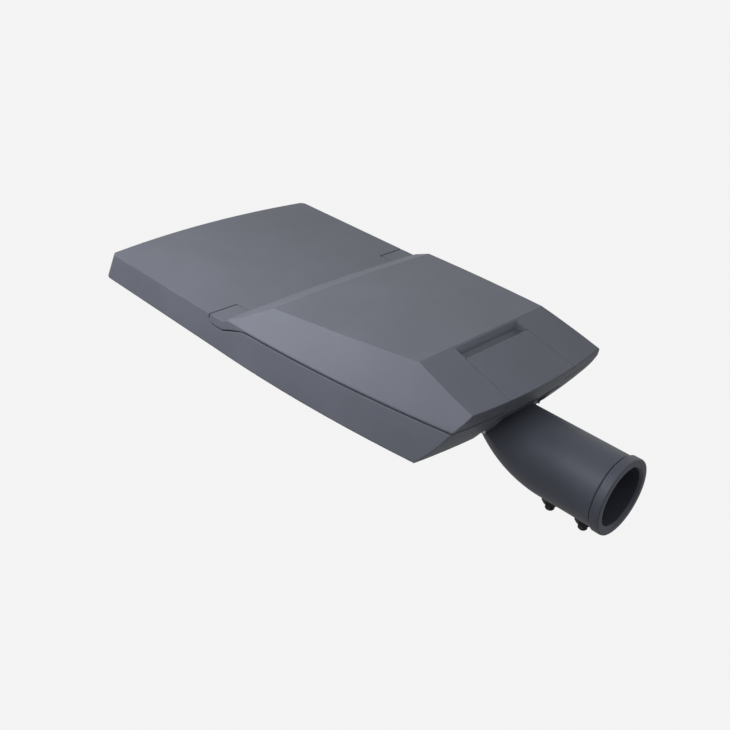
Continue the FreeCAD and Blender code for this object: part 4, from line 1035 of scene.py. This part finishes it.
    def build(self) -> None:
        """Make the casting, the clamp screws and their nuts."""
        body = combined(self.socket_tube(), [self.neck(), *self.bosses()], Cut.ADD)
        body = combined(body, self.hollows(), Cut.AWAY)
        self.shop.finish(body, "mast_spigot_cast", Body.SPIGOT, ["mast_spigot"], 24.0)
        screws, nuts = [], []
        for low, high in self.shop.solids("clamp_screws"):
            length = high.z - low.z
            thread = Thread(self.clamp_screw, 1.5 * MM, 0.05).profile(0.8 * MM, length - 1.4 * MM)
            shank = turned([(0.0, 0.0), (4.0 * MM, 0.0), *thread, (3.6 * MM, length), (0.0, length)], 36)
            key = bar(6, 2.5 * MM / HEXAGON, -1 * MM, 5 * MM)
            screws.append(placed(combined(shank, [key], Cut.AWAY), foot_of(low, high)))
        self.shop.finish(joined(screws), "clamp_set_screws", Body.SPIGOT, ["clamp_screws"])
        for low, high in self.shop.solids("clamp_lock_nuts"):
            nuts.append(placed(Nut(8.5 * MM, 5.02 * MM).mesh(high.z - low.z), foot_of(low, high)))
        self.shop.finish(joined(nuts), "clamp_hex_nuts", Body.SPIGOT, ["clamp_lock_nuts"], 25.0)


@dataclass
class Fasteners(Assembly):
    """Screws of the frame, boards, tray, gear and tilt knuckle."""

    small: Screw = Screw(2.0 * MM, 3.5 * MM, 2.0 * MM, 0.7 * MM, 2.5 * MM)
    board: Screw = Screw(1.5 * MM, 2.62 * MM, 1.5 * MM, 0.5 * MM, 2.0 * MM)
    pivot: Screw = Screw(5.0 * MM, 8.0 * MM, 6.4 * MM, 1.5 * MM)
    lock: Screw = Screw(4.0 * MM, 6.5 * MM, 5.3 * MM, 1.25 * MM)

    def row(self, node: str, screw: Screw, body: Body, axis: int, way: int = 0) -> None:
        """Make all the screws of a node.

        Args:
            node: node that they stand for.
            screw: their form.
            body: body that they ride on.
            axis: axis that they lie along, 0 to 2.
            way: 1 or -1 where the shanks point up or down the axis, 0 where they point to its zero.
        """
        pieces = []
        for low, high in self.shop.solids(node):
            side = way or (-1 if low[axis] + high[axis] > 0 else 1)
            start, end = (low[axis], high[axis]) if side > 0 else (high[axis], low[axis])
            seat, along = (low + high) / 2, Vector((0, 0, 0))
            seat[axis] = start + side * screw.height
            along[axis] = side
            pieces.append(placed(screw.mesh(abs(end - seat[axis])), seat, along))
        self.shop.finish(joined(pieces), node + "_threaded", body, [node])

    def build(self) -> None:
        """Make all the screws."""
        for node, screw, way in (("frame_screws", self.small, 1), ("tray_screws", self.small, -1),
                                 ("gear_screws", self.small, -1), ("board_screws", self.board, 1)):
            self.row(node, screw, Body.HEAD, 2, way)
        self.row("tilt_pivot_screws", self.pivot, Body.SPIGOT, 1)
        self.row("tilt_lock_screws", self.lock, Body.SPIGOT, 1)


@dataclass
class Optics(Assembly):
    """Lens plates and light sources over the boards."""

    dome: float = 8.0 * MM
    root: float = 1.2 * MM
    rim: float = 3.0 * MM
    room: float = 1.4 * MM
    sheet: float = 3.0 * MM
    steps: int = 28
    phosphor: float = 1.35 * MM

    def build(self) -> None:
        """Make the optics of both boards."""
        for side in ("near", "far"):
            chips = self.shop.solids("led_packages_" + side)
            low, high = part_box("lens_plate_" + side)
            under = high.z - self.sheet
            plate = block(Vector((low.x, low.y, under)), high, 0.9 * MM, 3)
            domes = [self.lens((a + b) / 2, under, under - low.z) for a, b in chips]
            inner = Vector((self.rim, self.rim, 0))
            hollow = block(Vector((low.x, low.y, high.z - self.room)) + inner, high + UP * MM - inner)
            mesh = combined(combined(plate, domes, Cut.ADD), [hollow], Cut.AWAY)
            self.shop.finish(mesh, "lens_plate_%s_clear" % side, Body.HEAD, ["lens_plate_" + side], 26.0)
            mesh = joined([self.package(a, b) for a, b in chips])
            self.shop.finish(mesh, "led_packages_%s_lit" % side, Body.HEAD, ["led_packages_" + side])

    def lens(self, middle: Vector, under: float, drop: float) -> Mesh:
        """One dome, wider across its foot than it is deep.

        Args:
            middle: centre of the light source.
            under: height of the sheet's lower face.
            drop: depth of the dome.

        Returns:
            The dome as a closed solid.
        """
        curve = [(0.0, -self.root), (self.dome, -self.root), (self.dome, 0.0)]
        for i in range(1, 8):
            turn = i * math.pi / 16
            curve.append((self.dome * math.cos(turn) ** 0.8, drop * math.sin(turn)))
        curve.append((0.0, drop))
        return placed(turned(curve, self.steps), Vector((middle.x, middle.y, under)), -UP)

    def package(self, low: Vector, high: Vector) -> Mesh:
        """One light source: a square package with a round sunk phosphor."""
        well = placed(bar(20, self.phosphor, -0.1 * MM, 0.2 * MM), foot_of(low, high))
        return combined(block(low, high, 0.15 * MM, 1), [well], Cut.AWAY)


@dataclass
class Gear(Assembly):
    """Driver, surge protector, terminals, gland and vent."""

    foot: float = 9.0 * MM
    foot_sheet: float = 2.0 * MM
    foot_hole: float = 2.1 * MM
    panel: Spot = Spot(14.0, 9.0, 0.0)
    panel_depth: float = 0.6 * MM
    lid_share: float = 0.72
    lid_line: float = 0.5 * MM
    line_reach: Spot = Spot(2.0, 2.0, 0.0)
    terminal_pitch: float = 14.0 * MM
    terminal_floor: float = 14.0 * MM
    gland_collar: float = 8.0 * MM
    gland_ribs: int = 12
    vent_slots: int = 4

    def case(self, low: Vector, high: Vector, edge: float) -> list[Mesh]:
        """A moulded case with feet, a lid line and a sunk panel.

        Args:
            low: lowest corner of the node.
            high: highest corner of the node.
            edge: rounding of the case.

        Returns:
            The case and its feet.
        """
        inset = Vector((self.foot, 0, 0))
        panel = self.panel.vector() + inset / 2
        sunk = block(Vector((low.x, low.y, high.z - self.panel_depth)) + panel, high + UP * MM - panel,
                           0.25 * MM)
        level = low.z + self.lid_share * (high.z - low.z)
        shells = []
        for share, below, above in ((-1.0, 0.0, self.lid_line), (0.2, MM, 2 * MM)):
            reach = inset + self.line_reach.vector() * share
            shells.append(block(Vector((low.x, low.y, level - below)) + reach,
                                      Vector((high.x, high.y, level + above)) - reach))
        groove = combined(shells[0], shells[1:], Cut.AWAY)
        body = combined(block(low + inset, high - inset, edge, 3), [sunk, groove], Cut.AWAY)
        middle = (low.y + high.y) / 2
        foot = block(Vector((low.x, middle - self.foot, low.z)),
                           Vector((high.x, middle + self.foot, low.z + self.foot_sheet)), 0.4 * MM)
        holes = []
        for x in (low.x + self.foot / 2, high.x - self.foot / 2):
            hole = bar(24, self.foot_hole, -1 * MM, 4 * MM)
            holes.append(placed(hole, Vector((x, middle, low.z))))
        return [body, combined(foot, holes, Cut.AWAY)]

    def sleeves(self, low: Vector, high: Vector, offsets: Sequence[float], size: float) -> list[Mesh]:
        """Ribbed lead sleeves on both ends of a case.

        Args:
            low: lowest corner of the node.
            high: highest corner of the node.
            offsets: places across the case.
            size: radius of a sleeve.

        Returns:
            The sleeves.
        """
        reach = 0.62 * self.foot
        profile = [(0.0, -1 * MM), (1.25 * size, -1 * MM), (1.25 * size, 0.2 * reach)]
        for i in range(3):
            start = (0.28 + 0.24 * i) * reach
            profile += [(0.86 * size, start), (size, start + 0.06 * reach), (size, start + 0.14 * reach),
                        (0.86 * size, start + 0.18 * reach)]
        profile += [(0.8 * size, reach), (0.45 * size, reach), (0.45 * size, 0.4 * reach), (0.0, 0.4 * reach)]
        middle = (low + high) / 2
        shapes = []
        for x, side in ((low.x + self.foot, -1), (high.x - self.foot, 1)):
            for offset in offsets:
                seat = Vector((x, middle.y + offset, middle.z + 2 * MM))
                shapes.append(placed(turned(profile, 24), seat, Vector((side, 0, 0))))
        return shapes

    def terminals(self) -> None:
        """Make the terminal block and its slotted screws."""
        low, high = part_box("terminal_block")
        base = self.shop.copy_of("terminal_block")
        soften(base, 0.35 * MM, 2, 50.0)
        self.shop.finish(base, "terminal_block_moulded", Body.HEAD, ["terminal_block"], 35.0)
        head = in_mm((0.0, 0.0), (1.9, 0.0), (2.1, 0.3), (2.1, 2.0), (1.8, 2.3), (0.0, 2.3))
        screws = []
        for i in (-1, 0, 1):
            slot = block(Vector((-0.4, -3, 1.4)) * MM, Vector((0.4, 3, 3)) * MM)
            seat = Vector(((low.x + high.x) / 2, (low.y + high.y) / 2 + i * self.terminal_pitch,
                           low.z + self.terminal_floor))
            screws.append(placed(combined(turned(head, 28), [slot], Cut.AWAY), seat))
        self.shop.finish(joined(screws), "terminal_screws", Body.HEAD, slot="bright_steel")

    def build(self) -> None:
        """Make the gear."""
        for node, edge, offsets, size in (("led_driver", 1.6 * MM, (-20 * MM, 20 * MM), 3.6 * MM),
                                          ("surge_protector", 2.2 * MM, (0.0,), 3.0 * MM)):
            low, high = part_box(node)
            parts = self.case(low, high, edge) + self.sleeves(low, high, offsets, size)
            self.shop.finish(joined(parts), node + "_case", Body.HEAD, [node])
        self.terminals()
        self.gland()
        self.vent()

    def gland(self) -> None:
        """Make the supply gland and its nut."""
        low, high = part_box("cable_gland")
        seat = Vector(((low.x + high.x) / 2, 0, low.z + self.gland_collar))
        reach = high.z - seat.z
        thread = Thread(7.98 * MM, 1.5 * MM, 0.05).profile(0.5 * MM, reach - 0.8 * MM)
        stem = in_mm((5.0, -1.0), (7.4, -1.0)) + thread + [(7.2 * MM, reach), (5.0 * MM, reach)]
        corner = 9.5 * MM / HEXAGON
        cone = [(5.0 * MM, -3.6 * MM), (9.0 * MM, -3.6 * MM), (1.02 * corner, -3.0 * MM),
                (1.02 * corner, -0.5 * MM), (9.2 * MM, 0.0), (5.0 * MM, 0.0)]
        cap = in_mm((5.0, -3.4), (8.6, -3.4), (8.9, -4.0), (8.8, -6.2), (7.6, -7.6), (6.4, -8.0), (5.2, -8.0),
                    (5.0, -7.6))
        parts = [turned(stem, 40), hexagon(9.5 * MM, -3.6 * MM, 0.0, cone), turned(cap, 48)]
        for i in range(self.gland_ribs):
            rib = block(Vector((8.3, -0.55, -6.3)) * MM, Vector((9.3, 0.55, -4.0)) * MM, 0.25 * MM, 1)
            turn_about_z(rib, i * 2 * math.pi / self.gland_ribs)
            parts.append(rib)
        self.shop.finish(placed(joined(parts), seat), "cable_gland_body", Body.HEAD, ["cable_gland"])
        low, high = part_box("gland_nut")
        nut = placed(Nut(10.0 * MM, 8.02 * MM).mesh(high.z - low.z), Vector((seat.x, 0, low.z)))
        self.shop.finish(nut, "gland_hex_nut", Body.HEAD, ["gland_nut"], 25.0)

    def vent(self) -> None:
        """Make the breather vent, a hexagon plug with a slotted cap."""
        low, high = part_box("breather_vent")
        head = bar(6, 8.0 * MM / HEXAGON, 0.0, 2.0 * MM, 0.3 * MM)
        cuts = [turned(in_mm((4.2, -1.0), (5.6, -1.0), (5.6, 0.7), (4.2, 0.7)), 40)]
        for i in range(self.vent_slots):
            slot = block(Vector((-3.4, -0.35, -1)) * MM, Vector((3.4, 0.35, 0.8)) * MM)
            turn_about_z(slot, i * math.pi / self.vent_slots)
            cuts.append(slot)
        top = high.z - low.z
        thread = Thread(5.95 * MM, 1.0 * MM).profile(2.2 * MM, top - 0.6 * MM)
        stem = in_mm((0.0, 1.2), (5.6, 1.2)) + thread + [(5.2 * MM, top), (0.0, top)]
        mesh = joined([combined(head, cuts, Cut.AWAY), turned(stem, 32)])
        self.shop.finish(placed(mesh, foot_of(low, high)), "breather_vent_plug", Body.HEAD, ["breather_vent"])


@dataclass
class Hinges(Assembly):
    """Pins of the cover and of the latch flap, and the flap's round barrel."""

    nose: float = 0.4 * MM
    barrel: float = 3.76 * MM
    bore: float = 2.06 * MM
    half_barrel: float = 51.8 * MM

    def pin(self, low: Vector, high: Vector) -> Mesh:
        """A pin across the head, with chamfered ends.

        Args:
            low: lowest corner of its solid.
            high: highest corner of its solid.

        Returns:
            The pin.
        """
        radius = (high.z - low.z) / 2
        length = high.y - low.y
        profile = [(0.0, 0.0), (radius - self.nose, 0.0), (radius, self.nose), (radius, length - self.nose),
                   (radius - self.nose, length), (0.0, length)]
        seat = Vector(((low.x + high.x) / 2, low.y, (low.z + high.z) / 2))
        return placed(turned(profile, 36), seat, ACROSS)

    def build(self) -> None:
        """Make the pins and the barrel."""
        for node in ("hinge_pins", "latch_pin"):
            pins = [self.pin(low, high) for low, high in self.shop.solids(node)]
            self.shop.finish(joined(pins), node + "_turned", Body.HEAD, [node])
        low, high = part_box("latch_pin")
        half = self.half_barrel
        ring = turned([(self.bore, -half), (self.barrel, -half), (self.barrel, half), (self.bore, half)], 48)
        self.shop.finish(placed(ring, (low + high) / 2, ACROSS), "latch_barrel", Body.LATCH,
                         slot="flap_paint")


@dataclass(frozen=True)
class Lamp:
    """A square soft light: its place and side in metres and its power in watts."""

    name: str
    place: Triple
    size: float
    power: float


@dataclass
class Studio:
    """Plain floor, soft lights and the camera."""

    eye: Triple = (0.3206, -0.7517, 0.5646)
    azimuth: float = 41.346
    elevation: float = 30.137
    roll: float = 6.259
    lens: float = 49.81
    floor_height: float = -0.9
    floor_half: float = 30.0
    floor_grey: float = 0.45
    floor_share: float = 0.985
    floor_mirror: float = 0.4
    floor_bounce: float = 0.1
    backdrop: float = 0.913
    sky_level: float = 0.14
    sky_colour: Triple = (0.97, 0.98, 1.0)
    middle: Triple = (-0.36, 0.0, 0.04)
    lamps: tuple[Lamp, ...] = (Lamp("key softbox", (-0.64, -0.38, 0.45), 0.34, 2.35),
                               Lamp("side softbox", (-0.14, -0.48, 0.43), 0.34, 1.3),
                               Lamp("rear softbox", (0.766, -0.1, 0.72), 0.6, 1.0))

    def camera(self) -> None:
        """Set the camera that the scene is seen from."""
        turn, rise, roll = (math.radians(a) for a in (self.azimuth, self.elevation, self.roll))
        back = Vector((math.sin(turn) * math.cos(rise), -math.cos(turn) * math.cos(rise), math.sin(rise)))
        level = Vector((math.cos(turn), math.sin(turn), 0))
        up = back.cross(level)
        right = level * math.cos(roll) + up * math.sin(roll)
        up = up * math.cos(roll) - level * math.sin(roll)
        matrix = Matrix((right, up, back)).transposed().to_4x4()
        matrix.translation = Vector(self.eye)
        data = bpy.data.cameras.new("camera")
        data.lens = self.lens
        data.sensor_width = 36.0
        data.clip_start = 0.01
        data.clip_end = 200.0
        obj = stand("camera", data)
        obj.matrix_world = matrix
        bpy.context.scene.camera = obj

    def seen(self, sketch: NodeSketch, mirrored: float = 1.0, cast: float = 0.0) -> Socket:
        """Amount that is 1 for rays that see the background directly or through glass.

        Args:
            sketch: node sketch to work in.
            mirrored: amount for rays that see it in a mirror.
            cast: amount for all other rays.

        Returns:
            The amount.
        """
        path = sketch.add("ShaderNodeLightPath").outputs
        total = path["Is Camera Ray"]
        for name, share in (("Is Glossy Ray", mirrored), ("Is Transmission Ray", 1.0)):
            part = sketch.wired(sketch.add("ShaderNodeMath", operation="MULTIPLY_ADD"), path[name],
                                share - cast, cast)
            total = sketch.wired(sketch.add("ShaderNodeMath", operation="MAXIMUM"), total, part)
        return total

    def floor(self) -> None:
        """Lay the pale floor, which keeps the head's shadow."""
        mesh = bmesh.new()
        bmesh.ops.create_grid(mesh, x_segments=1, y_segments=1, size=self.floor_half,
                              matrix=Matrix.Translation((0, 0, self.floor_height)))
        data = bpy.data.meshes.new("floor")
        mesh.to_mesh(data)
        mesh.free()
        sketch = NodeSketch(bpy.data.materials.new("Pale floor"))
        matt = sketch.add("ShaderNodeBsdfDiffuse", Color=(self.floor_grey,) * 3)
        glow = sketch.add("ShaderNodeEmission", Color=(self.backdrop,) * 3)
        share = sketch.wired(sketch.add("ShaderNodeMath", operation="MULTIPLY"),
                             self.seen(sketch, self.floor_mirror, self.floor_bounce), self.floor_share)
        mix = sketch.wired(sketch.add("ShaderNodeMixShader"), share, matt.outputs[0], glow.outputs[0])
        sketch.feed(sketch.output.inputs["Surface"], mix)
        data.materials.append(sketch.owner)
        stand("floor", data)

    def sky(self) -> None:
        """Fill the world with soft even light."""
        world = bpy.data.worlds.new("studio")
        bpy.context.scene.world = world
        sketch = NodeSketch(world, "ShaderNodeOutputWorld")
        soft = sketch.add("ShaderNodeBackground", Color=self.sky_colour, Strength=self.sky_level)
        plain = sketch.add("ShaderNodeBackground", Color=(self.backdrop,) * 3)
        mix = sketch.wired(sketch.add("ShaderNodeMixShader"), self.seen(sketch), soft.outputs[0], plain.outputs[0])
        sketch.feed(sketch.output.inputs["Surface"], mix)

    def light(self, lamp: Lamp) -> None:
        """Hang a lamp that faces the head.

        Args:
            lamp: the lamp.
        """
        data = bpy.data.lights.new(lamp.name, "AREA")
        data.size = lamp.size
        data.energy = lamp.power
        obj = stand(lamp.name, data)
        obj.location = lamp.place
        obj.rotation_mode = "QUATERNION"
        obj.rotation_quaternion = (Vector(lamp.place) - Vector(self.middle)).to_track_quat("Z", "Y")

    def build(self) -> None:
        """Set up the whole studio."""
        self.camera()
        self.floor()
        self.sky()
        for lamp in self.lamps:
            self.light(lamp)
        bpy.context.scene.view_settings.view_transform = "Standard"


def main() -> None:
    """Build the scene, piece by piece."""
    logging.basicConfig(level=logging.INFO, format="%(message)s")
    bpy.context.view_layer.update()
    shop = Workshop()
    shop.dress_nodes()
    for assembly in (Castings, Spigot, Fasteners, Optics, Gear, Hinges):
        assembly(shop).build()
    Studio().build()


if __name__ == "__main__":
    main()
